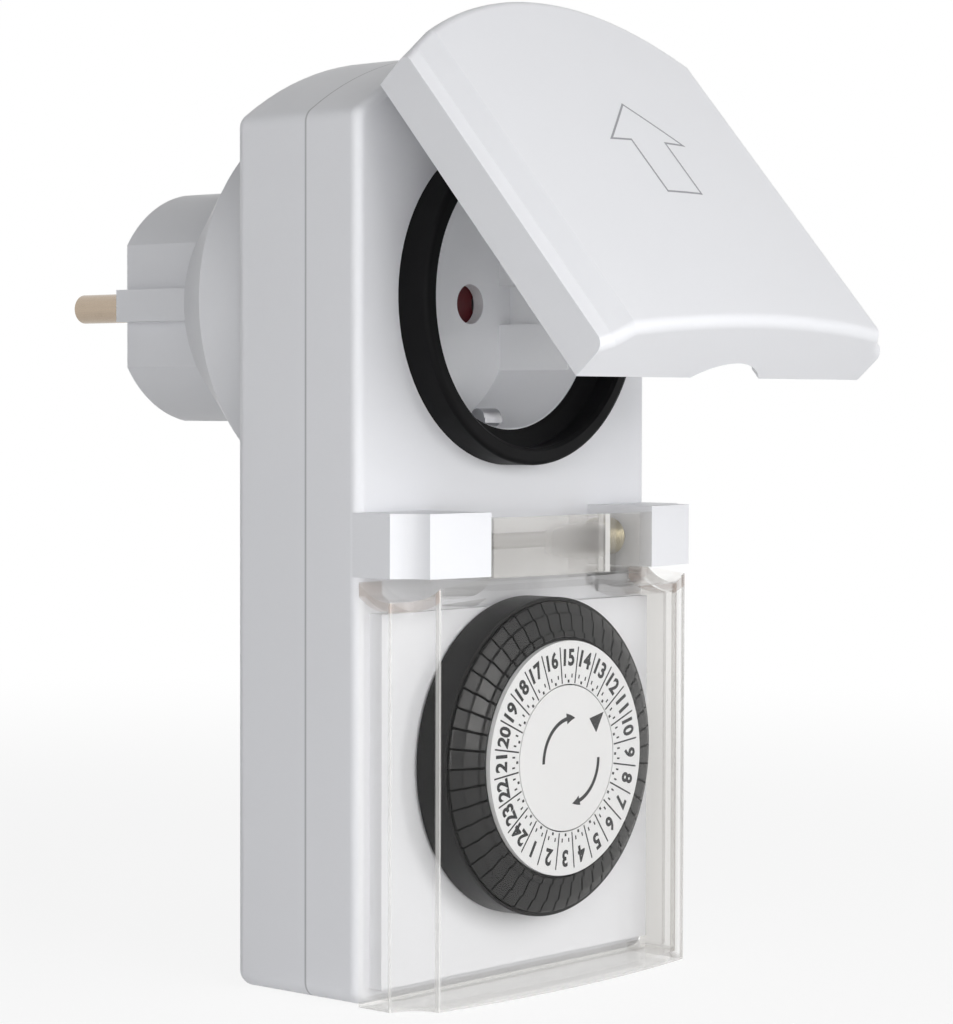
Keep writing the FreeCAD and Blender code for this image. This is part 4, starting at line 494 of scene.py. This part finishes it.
class TimerSocketColours(bpy.types.PropertyGroup):
    casing: tint("Casing", "White plastic of the casing, plug and lid", (0.80, 0.805, 0.83))
    # The insert's white is lighter than the casing's as painted light, making up for the shade inside the
    # socket's recess
    insert: tint("Insert", "White plastic of the socket insert", (0.93, 0.935, 0.95))
    rubber: tint("Seal", "Black ring round the socket", (0.006, 0.006, 0.0065))
    shutter: tint("Shutter", "Red plate behind the pin holes", (0.10, 0.003, 0.006))
    pin: tint("Pins", "Turned metal of the plug pins", (0.47, 0.385, 0.30))
    brass: tint("Brass", "Contacts and bars", (0.75, 0.58, 0.32))
    steel: tint("Steel", "Screws, axles and springs", (0.58, 0.58, 0.60))
    zinc: tint("Zinc", "Plated motor can", (0.64, 0.64, 0.67))
    copper: tint("Copper", "Motor winding", (0.72, 0.38, 0.22))
    spring: tint("Cover spring", "Oiled spring of the clear cover", (0.34, 0.30, 0.20))
    dial: tint("Dial", "Black plastic of the dial and its tappets", (0.008, 0.008, 0.0082))
    label: tint("Label", "Printed scale", (0.75, 0.75, 0.757))
    ink: tint("Ink", "Numbers and marks", (0.018, 0.018, 0.02))
    # The arrow's grey is painted shade, standing in for the shadow in the lid's engraved outline; the arrow
    # itself is a raised strip
    engraving: tint("Engraving", "Outline arrow on the lid", (0.30, 0.30, 0.32))
    clear: tint("Clear cover", "Tint of the clear plastic", (0.998, 0.996, 0.991))
    acetal: tint("Gears", "Natural acetal", (0.76, 0.74, 0.66))
    thermoset: tint("Thermoset", "Dark movement plate and switch base", (0.035, 0.035, 0.038))
    insulation: tint("Insulation", "Motor leads", (0.05, 0.05, 0.28))


class TimerSocketSizes(bpy.types.PropertyGroup):
    number_radius: length("Number radius", "Middle of the numbers from the dial's axis, in millimetres", 15.2)
    number_height: length("Number height", "Height of a digit, in millimetres", 2.6)
    line_inner: length("Line inner", "Inner end of the long lines, in millimetres", 11.35)
    line_outer: length("Line outer", "Outer end of the long lines, in millimetres", 16.9)
    line_width: length("Line width", "Width of a printed line, in millimetres", 0.24)
    spring_turns: length("Spring turns", "Turns of the cover's spring", 9.0, 2.0, 12.0)
    spring_wire: length("Spring wire", "Radius of the spring's wire, in millimetres", 0.22)
    arrow_line: length("Arrow line", "Width of the lid arrow's outline, in millimetres", 0.34)


class TimerSocketStudio(bpy.types.PropertyGroup):
    key_power: length("Key light", "Power of the large light in front, in watts", 3.3)
    side_power: length("Side light", "Power of the low light at the left, in watts", 2.0)
    low_power: length("Low fill", "Power of the low strip that reaches under the lid, in watts", 0.3)
    table_power: length("Table light", "Power of the light that shines down in front, in watts", 3.0)
    panel_power: length("Panel", "Power of the panel at front right, in watts", 1.3)
    around: length("Surroundings", "Brightness of the white room at eye level", 0.37)
    above: length("Ceiling", "Brightness of the white room straight above", 0.05)


def carried(thing, body, slot, *nodes):
    """Let a new piece ride on a body and stand for CAD nodes; the slot that it is given is not used."""
    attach(thing, body)
    if nodes:
        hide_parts(*nodes)
    return thing


def wear(name, material):
    """Give a CAD node its material."""
    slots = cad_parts[name].data.materials
    slots.clear()
    slots.append(material)


class TIMERSOCKET_OT_finishes(bpy.types.Operator):
    """Give every carried-over node its material"""
    bl_idname = "timer_socket.finishes"
    bl_label = "Finishes"

    def execute(self, context):
        colours = context.scene.timer_colours
        shell = moulded_plastic("casing_plastic", colours.casing, 0.36, seam=True)
        lid = moulded_plastic("lid_plastic", colours.casing, 0.33)
        insert = moulded_plastic("insert_plastic", colours.insert, 0.42, grain=0.2)
        rubber = black_rubber("seal_rubber", colours.rubber)
        strip = black_rubber("parting_seal", (0.25, 0.25, 0.26), 0.5)
        pins = drawn_metal("pin_metal", colours.pin, 0.26)
        brass = stamped_metal("contact_brass", colours.brass)
        steel = drawn_metal("bright_steel", colours.steel, 0.24, (60.0, 9000.0, 9000.0))
        dull = drawn_metal("hinge_pin_steel", scaled(colours.steel, 0.5), 0.42, (60.0, 9000.0, 9000.0))
        clip = stamped_metal("earth_clip_steel", colours.steel, 0.28, 0.45)
        zinc = stamped_metal("motor_can_zinc", colours.zinc, 0.36, 0.2)
        copper = stamped_metal("blade_copper", colours.copper, 0.3)
        winding = wound_copper("motor_winding", colours.copper)
        red = moulded_plastic("shutter_plastic", colours.shutter, 0.34, grain=0.2)
        black = satin_black("dial_plastic", colours.dial, 0.34, 0.14)
        label = printed_label("scale_label", colours.label)
        gears = moulded_plastic("gear_acetal", colours.acetal, 0.4)
        dark = satin_black("thermoset", colours.thermoset, 0.42)
        leads = wire_cover("lead_insulation", colours.insulation)
        clear = clear_plastic("cover_clear", colours.clear, 0.002)
        single_tappets = [f"tappet_{number:02d}" for number in range(1, SINGLES + 1)]
        finishes = {
            shell: ["rear_casing", "front_casing", "plug_body"],
            lid: ["lid"],
            insert: ["socket_insert", "follower_bracket"],
            rubber: ["socket_seal_ring"],
            strip: ["casing_seal"],
            pins: ["plug_pin_live", "plug_pin_neutral"],
            brass: ["socket_contact_live", "socket_contact_neutral", "fixed_contact", "busbar_neutral",
                    "busbar_live", "busbar_switched"],
            dull: ["cover_hinge_pin"],
            steel: ["casing_screws", "lid_hinge_pin", "dial_axle", "intermediate_axle", "movement_screws",
                    "follower_pin", "switch_pivot_pin", "cover_spring"],
            clip: ["plug_earth_contact", "socket_earth_bow"],
            zinc: ["motor_housing"],
            copper: ["switch_blade"],
            winding: ["motor_coil"],
            red: ["socket_shutter", "shutter_guide_rails"],
            black: ["dial_drum", "tappets_fixed_group", *single_tappets],
            label: ["scale_ring", "centre_plate"],
            gears: ["dial_gear", "intermediate_gear", "motor_pinion", "follower_lever"],
            dark: ["movement_plate", "switch_base", "motor_rotor"],
            leads: ["motor_leads"],
            clear: ["timer_cover"],
        }
        for material, names in finishes.items():
            for name in names:
                wear(name, material)
        missed = sorted(set(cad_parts) - {name for names in finishes.values() for name in names})
        if missed:
            raise RuntimeError(f"no finish for {missed}")
        return {"FINISHED"}


def tappet_points(indices):
    """Each tappet's head: a stepped section (radius, depth) turned through its share of the ring.

    The side planes keep half the gap from the dividing radii, so the angle of a side at radius r is
    the middle plus or minus (half a step less asin(half gap / r)); the outermost columns are drawn in
    to bevel the edges. Its leg is a block behind the head.
    """
    section = np.array([(18.15, -7.2), (18.15, -10.96), (18.29, -11.1), (19.15, -10.96), (19.32, -10.55),
                        (21.75, -10.02), (21.95, -9.62), (23.42, -8.98), (23.6, -8.8), (23.6, -7.2)])
    middle = section.mean(axis=0)
    drawn_in = section + (middle - section) * np.array([0.035, 0.05])
    columns = np.stack([drawn_in, section, section, drawn_in])
    reach = np.array([-1.0, -0.955, 0.955, 1.0])
    half_step = math.pi / TAPPETS
    share = reach[:, None] * (half_step - np.arcsin(TAPPET_GAP / 2 / columns[..., 0]))
    turn = (np.asarray(indices)[:, None, None] + 0.5) * 2 * half_step + share[None]
    radius = np.broadcast_to(columns[None, ..., 0], turn.shape)
    deep = np.broadcast_to(columns[None, ..., 1], turn.shape)
    head = np.stack([radius * np.cos(turn), FACE_Y + deep, DIAL_Z - radius * np.sin(turn)], axis=-1)
    angle = (np.asarray(indices) + 0.5) * 2 * half_step
    corner_r = np.array([18.7, 20.0, 20.0, 18.7] * 2)
    corner_w = np.array([-0.55, -0.55, 0.55, 0.55] * 2)
    corner_y = np.array([-7.4] * 4 + [0.4] * 4)
    cos, sin = np.cos(angle)[:, None], np.sin(angle)[:, None]
    leg = np.stack([corner_r * cos + corner_w * sin, np.broadcast_to(FACE_Y + corner_y, (len(angle), 8)),
                    DIAL_Z - corner_r * sin + corner_w * cos], axis=-1)
    return head, leg


def tappet_faces(count, columns, ring):
    """Quads round each head, its two end caps, and the faces of its leg."""
    faces = []
    for number in range(count):
        start = number * columns * ring
        faces += grid_faces(columns, ring, wrap_columns=True, start=start)
        faces.append([start + place for place in range(ring)][::-1])
        faces.append([start + (columns - 1) * ring + place for place in range(ring)])
    return faces + blocks_faces(count, count * columns * ring)


def facing_out(thing):
    """Turn each loose shell's faces outwards."""
    shape = bmesh.new()
    shape.from_mesh(thing.data)
    bmesh.ops.recalc_face_normals(shape, faces=shape.faces)
    shape.to_mesh(thing.data)
    shape.free()
    thing.data.update()
    return thing


def creased(thing, degrees):
    """Shade flat across edges sharper than the given angle."""
    thing.data.set_sharp_from_angle(angle=math.radians(degrees))
    return thing


class TIMERSOCKET_OT_tappets(bpy.types.Operator):
    """Make the dial's 48 tappets with their stepped, bevelled heads"""
    bl_idname = "timer_socket.tappets"
    bl_label = "Tappets"

    def execute(self, context):
        colours = context.scene.timer_colours
        black = satin_black("tappet_plastic", colours.dial, 0.24, 0.3)
        singles = range(FIRST_SINGLE, FIRST_SINGLE + SINGLES)
        fixed = [index for index in range(TAPPETS) if index not in singles]
        groups = [(f"tappet_{number:02d}", f"tappet_{number:02d}", [index])
                  for number, index in enumerate(singles, start=1)]
        groups.append(("tappets_fixed_group", "dial", fixed))
        for node, body, indices in groups:
            head, leg = tappet_points(indices)
            count, columns, ring = head.shape[:3]
            points = np.concatenate([head.reshape(-1, 3), leg.reshape(-1, 3)])
            thing = shown(f"{node}_head", points, tappet_faces(count, columns, ring))
            creased(facing_out(thing), 12.0)
            thing.data.materials.append(black)
            carried(thing, body, "dial_black", node)
        return {"FINISHED"}


def bars(angle, inner, outer, width):
    """Printed bars on the dial: blocks between two radii along each angle, of a set width.

    A corner at radius r, a distance s to the side of angle a, is at (r sin a + s cos a, r cos a - s sin a).
    """
    angle, inner, outer, width = np.broadcast_arrays(*(np.atleast_1d(thing).astype(float)
                                                       for thing in (angle, inner, outer, width)))
    turn = np.radians(angle)[:, None]
    radius = np.stack([inner, outer, outer, inner] * 2, axis=1)
    side = np.stack([-width, -width, width, width] * 2, axis=1) / 2
    rise = np.array([0.0] * 4 + [PRINT_RISE] * 4)
    x = radius * np.sin(turn) + side * np.cos(turn)
    z = DIAL_Z + radius * np.cos(turn) - side * np.sin(turn)
    y = np.broadcast_to(PRINT_Y - rise, x.shape)
    return np.stack([x, y, z], axis=-1).reshape(-1, 3), blocks_faces(len(angle))


def number_mesh(text, height):
    """The outline of a number as flat faces with a little thickness, centred, in millimetres."""
    curve = bpy.data.curves.new(f"number_{text}", "FONT")
    curve.body = text
    curve.size = 1.0
    curve.align_x = "CENTER"
    curve.offset = NUMBER_BOLD
    curve.extrude = 0.004
    curve.resolution_u = 3
    word = bpy.data.objects.new(f"number_{text}", curve)
    bpy.context.scene.collection.objects.link(word)
    bpy.context.view_layer.update()
    mesh = bpy.data.meshes.new_from_object(word.evaluated_get(bpy.context.evaluated_depsgraph_get()))
    points = np.empty(len(mesh.vertices) * 3)
    mesh.vertices.foreach_get("co", points)
    points = points.reshape(-1, 3)
    faces = [list(face.vertices) for face in mesh.polygons]
    low, high = points.min(axis=0), points.max(axis=0)
    points = (points - (low + high) / 2) * (height / (high[1] - low[1]))
    bpy.data.objects.remove(word)
    bpy.data.meshes.remove(mesh)
    bpy.data.curves.remove(curve)
    return points, faces


class TIMERSOCKET_OT_scale_print(bpy.types.Operator):
    """Print the 24 numbers, the lines between them and the small quarter marks"""
    bl_idname = "timer_socket.scale_print"
    bl_label = "Scale print"

    def execute(self, context):
        colours = context.scene.timer_colours
        sizes = context.scene.timer_sizes
        ink = printing_ink("scale_ink", colours.ink)
        middle_y = LABEL_Y - 0.014
        points, faces, start = [], [], 0
        for number in range(1, HOURS + 1):
            angle = math.radians(DIAL_TURN - HOUR_STEP * (number - HOUR_ON_TOP))
            flat, flat_faces = number_mesh(str(number), sizes.number_height)
            across, upward = flat[:, 0] * NUMBER_SQUEEZE, flat[:, 1] + sizes.number_radius
            x = across * math.cos(angle) + upward * math.sin(angle)
            z = DIAL_Z - across * math.sin(angle) + upward * math.cos(angle)
            points.append(np.stack([x, middle_y - flat[:, 2], z], axis=1))
            faces += [[place + start for place in face] for face in flat_faces]
            start += len(flat)
        numbers = shown("scale_numbers", np.concatenate(points), faces, smooth=False)
        numbers.data.materials.append(ink)
        carried(facing_out(numbers), "dial", "dial_black")

        hours = DIAL_TURN + HOUR_STEP * np.arange(HOURS)
        quarter = 3.6
        angle = np.concatenate([hours + HOUR_STEP / 2, hours + quarter, hours - quarter, hours])
        # Inner end, outer end and width of each kind of mark
        half_hour_line = (sizes.line_inner, sizes.line_outer, sizes.line_width)
        quarter_mark = (12.15, 12.75, 0.26)
        hour_mark = (11.4, 11.85, 0.4)
        marks = np.repeat([half_hour_line, quarter_mark, hour_mark], [HOURS, 2 * HOURS, HOURS], axis=0)
        lines = shown("scale_lines", *bars(angle, *marks.T), smooth=False)
        lines.data.materials.append(ink)
        carried(facing_out(lines), "dial", "dial_black")
        return {"FINISHED"}


def turning_arrow(start, end, radius=6.5, width=0.6, centre=(1.0, -0.5), head=2.0, barb=0.85):
    """An arc of set width whose last stretch is a head that narrows from its barbs to a point."""
    turn = np.radians(np.linspace(start, end, 40))
    left = np.abs(np.radians(end) - turn) * radius
    half = np.where(left < head, left / head * barb, width / 2)
    edge = np.argmax(left < head)
    turn = np.insert(turn, edge, turn[edge])
    half = np.insert(half, edge, width / 2)
    rows = []
    for side, rise in ((-1, 0.0), (1, 0.0), (1, PRINT_RISE), (-1, PRINT_RISE)):
        reach = radius + side * half
        rows.append(np.stack([centre[0] + reach * np.sin(turn), np.full_like(turn, PRINT_Y - rise),
                              DIAL_Z + centre[1] + reach * np.cos(turn)], axis=-1))
    points = np.stack(rows, axis=1)
    faces = grid_faces(len(turn), 4, wrap_columns=True)
    last = (len(turn) - 1) * 4
    faces += [[3, 2, 1, 0], [last, last + 1, last + 2, last + 3]]
    return points.reshape(-1, 3), faces


class TIMERSOCKET_OT_centre_print(bpy.types.Operator):
    """Print the marker and the two turning arrows on the centre plate"""
    bl_idname = "timer_socket.centre_print"
    bl_label = "Centre print"

    def execute(self, context):
        colours = context.scene.timer_colours
        ink = printing_ink("centre_ink", colours.ink)
        for name, start, end in (("turning_arrow_left", -90, 8), ("turning_arrow_right", 90, 178)):
            thing = shown(name, *turning_arrow(start, end), smooth=False)
            thing.data.materials.append(ink)
            carried(facing_out(thing), "casing", "dial_black")
        angle = math.radians(54.0)
        half_width, foot, tip = 1.4, 7.6, 10.8
        side = np.array([-half_width, half_width, 0.0] * 2)
        radius = np.array([foot, foot, tip] * 2)
        rise = np.array([0.0] * 3 + [PRINT_RISE] * 3)
        points = np.stack([radius * math.sin(angle) + side * math.cos(angle), PRINT_Y - rise,
                           DIAL_Z + radius * math.cos(angle) - side * math.sin(angle)], axis=-1)
        faces = [[0, 1, 2], [5, 4, 3], [0, 3, 4, 1], [1, 4, 5, 2], [2, 5, 3, 0]]
        marker = shown("time_marker", points, faces, smooth=False)
        marker.data.materials.append(ink)
        carried(facing_out(marker), "casing", "dial_black")
        return {"FINISHED"}


def on_lid(x, below, proud):
    """A point on the lid's crowned face: x across, a distance below the hinge, turned by the lid's opening.

    The crown is an arc of radius (w * w + s * s) / 2s over half width w with rise s.
    """
    radius = (LID_HALF_WIDTH ** 2 + LID_RISE ** 2) / (2 * LID_RISE)
    front = LID_FRONT - (radius - np.sqrt(radius ** 2 - x ** 2)) + proud
    turn = math.radians(LID_OPEN)
    return np.stack([x, FACE_Y - front * math.cos(turn) - below * math.sin(turn),
                     LID_HINGE_Z + front * math.sin(turn) - below * math.cos(turn)], axis=-1)


class TIMERSOCKET_OT_lid_arrow(bpy.types.Operator):
    """Draw the fine outline arrow on the lid"""
    bl_idname = "timer_socket.lid_arrow"
    bl_label = "Lid arrow"

    def execute(self, context):
        colours = context.scene.timer_colours
        sizes = context.scene.timer_sizes
        corners = np.array([(0.0, 18.8), (8.5, 26.3), (4.0, 26.3), (4.0, 36.6), (-4.0, 36.6), (-4.0, 26.3),
                            (-8.5, 26.3)])
        ahead = np.roll(corners, -1, axis=0) - corners
        ahead /= np.linalg.norm(ahead, axis=1)[:, None]
        square = np.stack([ahead[:, 1], -ahead[:, 0]], axis=1)
        before = np.roll(square, 1, axis=0)
        mitre = (square + before) / (1 + (square * before).sum(axis=1))[:, None]
        share = np.linspace(0, 1, 9)[:-1][None, :, None]
        rows = []
        for side, proud in ((-0.5, 0.0), (0.5, 0.0), (0.5, PRINT_RISE), (-0.5, PRINT_RISE)):
            edge = corners + mitre * side * sizes.arrow_line
            following = np.roll(edge, -1, axis=0)
            line = (edge[:, None, :] * (1 - share) + following[:, None, :] * share).reshape(-1, 2)
            rows.append(on_lid(line[:, 0], line[:, 1], proud))
        points = np.stack(rows, axis=1)
        thing = shown("lid_arrow", points, grid_faces(points.shape[0], 4, True, True), smooth=False)
        # Grey painted shade for the engraved outline
        thing.data.materials.append(printing_ink("arrow_engraving", colours.engraving, 0.8))
        carried(facing_out(thing), "lid", "casing")
        return {"FINISHED"}


def turned(profile, steps=160):
    """A closed profile of (radius, y) points turned about the Y axis."""
    profile = np.asarray(profile, float)
    turn = np.linspace(0, 2 * np.pi, steps, endpoint=False)
    radius, along = profile[None, :, 0], profile[None, :, 1]
    points = np.stack([radius * np.sin(turn)[:, None], np.broadcast_to(along, (steps, len(profile))),
                       radius * np.cos(turn)[:, None]], axis=-1)
    return points.reshape(-1, 3), grid_faces(steps, len(profile), wrap_rows=True, wrap_columns=True)


class TIMERSOCKET_OT_seal_lip(bpy.types.Operator):
    """Lay the seal ring's thin inner lip over the rim of the recess"""
    bl_idname = "timer_socket.seal_lip"
    bl_label = "Seal lip"

    def execute(self, context):
        colours = context.scene.timer_colours
        base = FACE_Y - 0.02
        section = [(22.6, base), (22.6, base - 1.9), (21.4, base - 0.95), (20.1, base - 0.5),
                   (19.72, base - 0.25), (19.72, base)]
        lip = shown("seal_lip", *turned(section))
        creased(facing_out(lip), 40.0)
        lip.data.materials.append(black_rubber("lip_rubber", colours.rubber))
        carried(lip, "casing", "seal")
        return {"FINISHED"}


class TIMERSOCKET_OT_spring(bpy.types.Operator):
    """Wind the clear cover's torsion spring with its two legs"""
    bl_idname = "timer_socket.spring"
    bl_label = "Cover spring"

    def execute(self, context):
        colours = context.scene.timer_colours
        sizes = context.scene.timer_sizes
        low, high = 13.0, 16.85
        radius = 2.7
        leg = 2.6
        turns = sizes.spring_turns
        points_per_turn = 20
        # The wire goes round the pin as x goes evenly from low to high; a straight leg runs on at each end
        turn = np.linspace(0, 2 * np.pi * turns, int(turns * points_per_turn) + 1)
        coil = np.stack([low + (high - low) * turn / turn[-1], COVER_PIN_Y + radius * np.cos(turn),
                         COVER_PIN_Z + radius * np.sin(turn)], axis=1)
        reach = np.linspace(leg, 0.2, 6)[:, None]
        first = coil[0] + reach * np.array([0.0, 0.0, -1.0])
        last = coil[-1] + reach[::-1] * np.array([0.0, 0.0, 1.0])
        path = np.concatenate([first, coil, last])
        thing = shown("cover_spring_coil", *tube(path, sizes.spring_wire, 10))
        facing_out(thing)
        thing.data.materials.append(drawn_metal("oiled_spring", colours.spring, 0.34, tarnish=0.5))
        carried(thing, "casing", "brass", "cover_spring")
        return {"FINISHED"}


def area_light(name, azimuth, elevation, distance, power, width, height):
    """A soft panel seen from the object at an angle round from its front and above the level."""
    turn, rise = math.radians(azimuth), math.radians(elevation)
    away = Vector((math.sin(turn) * math.cos(rise), -math.cos(turn) * math.cos(rise), math.sin(rise)))
    light = bpy.data.lights.new(name, "AREA")
    light.shape = "RECTANGLE"
    light.size = width
    light.size_y = height
    light.energy = power
    thing = bpy.data.objects.new(name, light)
    thing.location = Vector(LIGHT_TARGET) + away * distance
    thing.rotation_euler = away.to_track_quat("Z", "Y").to_euler()
    bpy.context.scene.collection.objects.link(thing)
    return thing


class TIMERSOCKET_OT_stage(bpy.types.Operator):
    """Set the camera, the soft studio light and the white floor"""
    bl_idname = "timer_socket.stage"
    bl_label = "Studio"

    def execute(self, context):
        studio = context.scene.timer_studio
        scene = context.scene
        scene.view_settings.view_transform = "Standard"
        self.camera(scene)
        # Azimuth and elevation in degrees, distance in metres, power, then width and height in metres
        area_light("key_light", -8.0, 23.0, 0.95, studio.key_power, 0.6, 0.6)
        area_light("side_light", -62.0, 0.0, 0.95, studio.side_power, 0.35, 0.5)
        area_light("front_panel", 24.0, 8.0, 0.85, studio.panel_power, 0.15, 0.4)
        area_light("low_fill", -32.0, -3.0, 0.6, studio.low_power, 0.35, 0.05)
        # The table light shines straight down, so that its light comes back from the floor
        table = area_light("table_light", -45.0, 10.0, 0.75, studio.table_power, 0.5, 0.5)
        table.rotation_euler = (0.0, 0.0, 0.0)
        self.room(scene, studio)
        self.floor()
        return {"FINISHED"}

    def camera(self, scene):
        """The photograph's camera, from its three angles."""
        azimuth, pitch, roll = (math.radians(angle) for angle in CAMERA_TURN)
        forward = Vector((-math.sin(azimuth) * math.cos(pitch), math.cos(azimuth) * math.cos(pitch),
                          -math.sin(pitch)))
        right = forward.cross(Vector((0, 0, 1))).normalized()
        up = right.cross(forward)
        tilted = right * math.cos(roll) + up * math.sin(roll)
        upward = up * math.cos(roll) - right * math.sin(roll)
        data = bpy.data.cameras.new("photo_view")
        data.lens = CAMERA_LENS
        data.sensor_width = 36.0
        data.sensor_fit = "AUTO"
        data.clip_start = 0.01
        data.clip_end = 50.0
        camera = bpy.data.objects.new("photo_view", data)
        turn = Matrix((tilted, upward, -forward)).transposed().to_4x4()
        camera.matrix_world = Matrix.Translation(Vector(CAMERA_PLACE)) @ turn
        scene.collection.objects.link(camera)
        scene.camera = camera

    def room(self, scene, studio):
        """White to the camera and in reflections; for light, a soft room whose brightness changes upwards."""
        world = bpy.data.worlds.new("white_room")
        world.use_nodes = True
        nodes = Nodes(world.node_tree, "ShaderNodeOutputWorld")
        place = nodes.add("ShaderNodeTexCoord").outputs["Generated"]
        rise = nodes.add("ShaderNodeSeparateXYZ", inputs={0: place}).outputs["Z"]
        level = nodes.add("ShaderNodeMapRange", inputs={0: rise, 1: 0.0, 2: 1.0, 3: studio.around,
                                                        4: studio.above}).outputs[0]
        room = nodes.add("ShaderNodeBackground", inputs={"Color": (0.97, 0.98, 1.0, 1.0), "Strength": level})
        white = nodes.add("ShaderNodeBackground", inputs={"Color": (1.0, 1.0, 1.0, 1.0), "Strength": 1.0})
        nodes.close(nodes.add("ShaderNodeMixShader", inputs={0: nodes.seen(), 1: room.outputs[0],
                                                             2: white.outputs[0]}))
        scene.world = world

    def floor(self):
        """A wide sheet just under the casing, nearly white to the camera, that keeps the shadow."""
        low = CAD_BOX[0][2] / MM - 0.2
        side = np.array([-1.0, 1.0]) * 3000.0
        x, y = np.meshgrid(side, side, indexing="ij")
        points = np.stack([x, y, np.full_like(x, low)], axis=-1)
        floor = shown("studio_floor", points, [[0, 2, 3, 1]], smooth=False)
        finish = Finish("floor_white")
        paper = finish.mixed(finish.noise(3.0), (0.94, 0.94, 0.94, 1.0), (0.96, 0.96, 0.96, 1.0))
        matt = finish.surface(Base_Color=paper, Roughness=0.9, Specular_IOR_Level=0.1)
        glow = finish.add("ShaderNodeEmission", inputs={"Color": (1.0, 1.0, 1.0, 1.0), "Strength": 1.0})
        away = (finish.x * finish.x + finish.y * finish.y) ** 0.5
        share = finish.between(away, 0.1, 0.5, 0.88, 1.0)
        mix = finish.add("ShaderNodeMixShader",
                         inputs={0: finish.seen() * share, 1: matt.outputs[0], 2: glow.outputs[0]})
        floor.data.materials.append(finish.done(mix))


class TIMERSOCKET_PT_panel(bpy.types.Panel):
    """Shows the timer socket's colours, sizes and lights, and its operators"""
    bl_idname = "TIMERSOCKET_PT_panel"
    bl_label = "Timer Socket"
    bl_space_type = "VIEW_3D"
    bl_region_type = "UI"
    bl_category = "Timer Socket"

    def draw(self, context):
        for name, kind in GROUPS:
            box = self.layout.box()
            for field in kind.__annotations__:
                box.prop(getattr(context.scene, name), field)
        for operator in OPERATORS:
            self.layout.operator(operator.bl_idname)


OPERATORS = (TIMERSOCKET_OT_stage, TIMERSOCKET_OT_finishes, TIMERSOCKET_OT_tappets,
             TIMERSOCKET_OT_scale_print, TIMERSOCKET_OT_centre_print, TIMERSOCKET_OT_lid_arrow,
             TIMERSOCKET_OT_seal_lip, TIMERSOCKET_OT_spring)
GROUPS = (("timer_colours", TimerSocketColours), ("timer_sizes", TimerSocketSizes),
          ("timer_studio", TimerSocketStudio))


def register():
    for name, group in GROUPS:
        bpy.utils.register_class(group)
        setattr(bpy.types.Scene, name, bpy.props.PointerProperty(type=group))
    for operator in OPERATORS:
        bpy.utils.register_class(operator)
    bpy.utils.register_class(TIMERSOCKET_PT_panel)


def unregister():
    bpy.utils.unregister_class(TIMERSOCKET_PT_panel)
    for operator in reversed(OPERATORS):
        bpy.utils.unregister_class(operator)
    for name, group in reversed(GROUPS):
        delattr(bpy.types.Scene, name)
        bpy.utils.unregister_class(group)


def main():
    register()
    bpy.ops.timer_socket.stage()
    bpy.ops.timer_socket.finishes()
    bpy.ops.timer_socket.tappets()
    bpy.ops.timer_socket.scale_print()
    bpy.ops.timer_socket.centre_print()
    bpy.ops.timer_socket.lid_arrow()
    bpy.ops.timer_socket.seal_lip()
    bpy.ops.timer_socket.spring()
    bpy.context.view_layer.update()


if __name__ == "__main__":
    main()
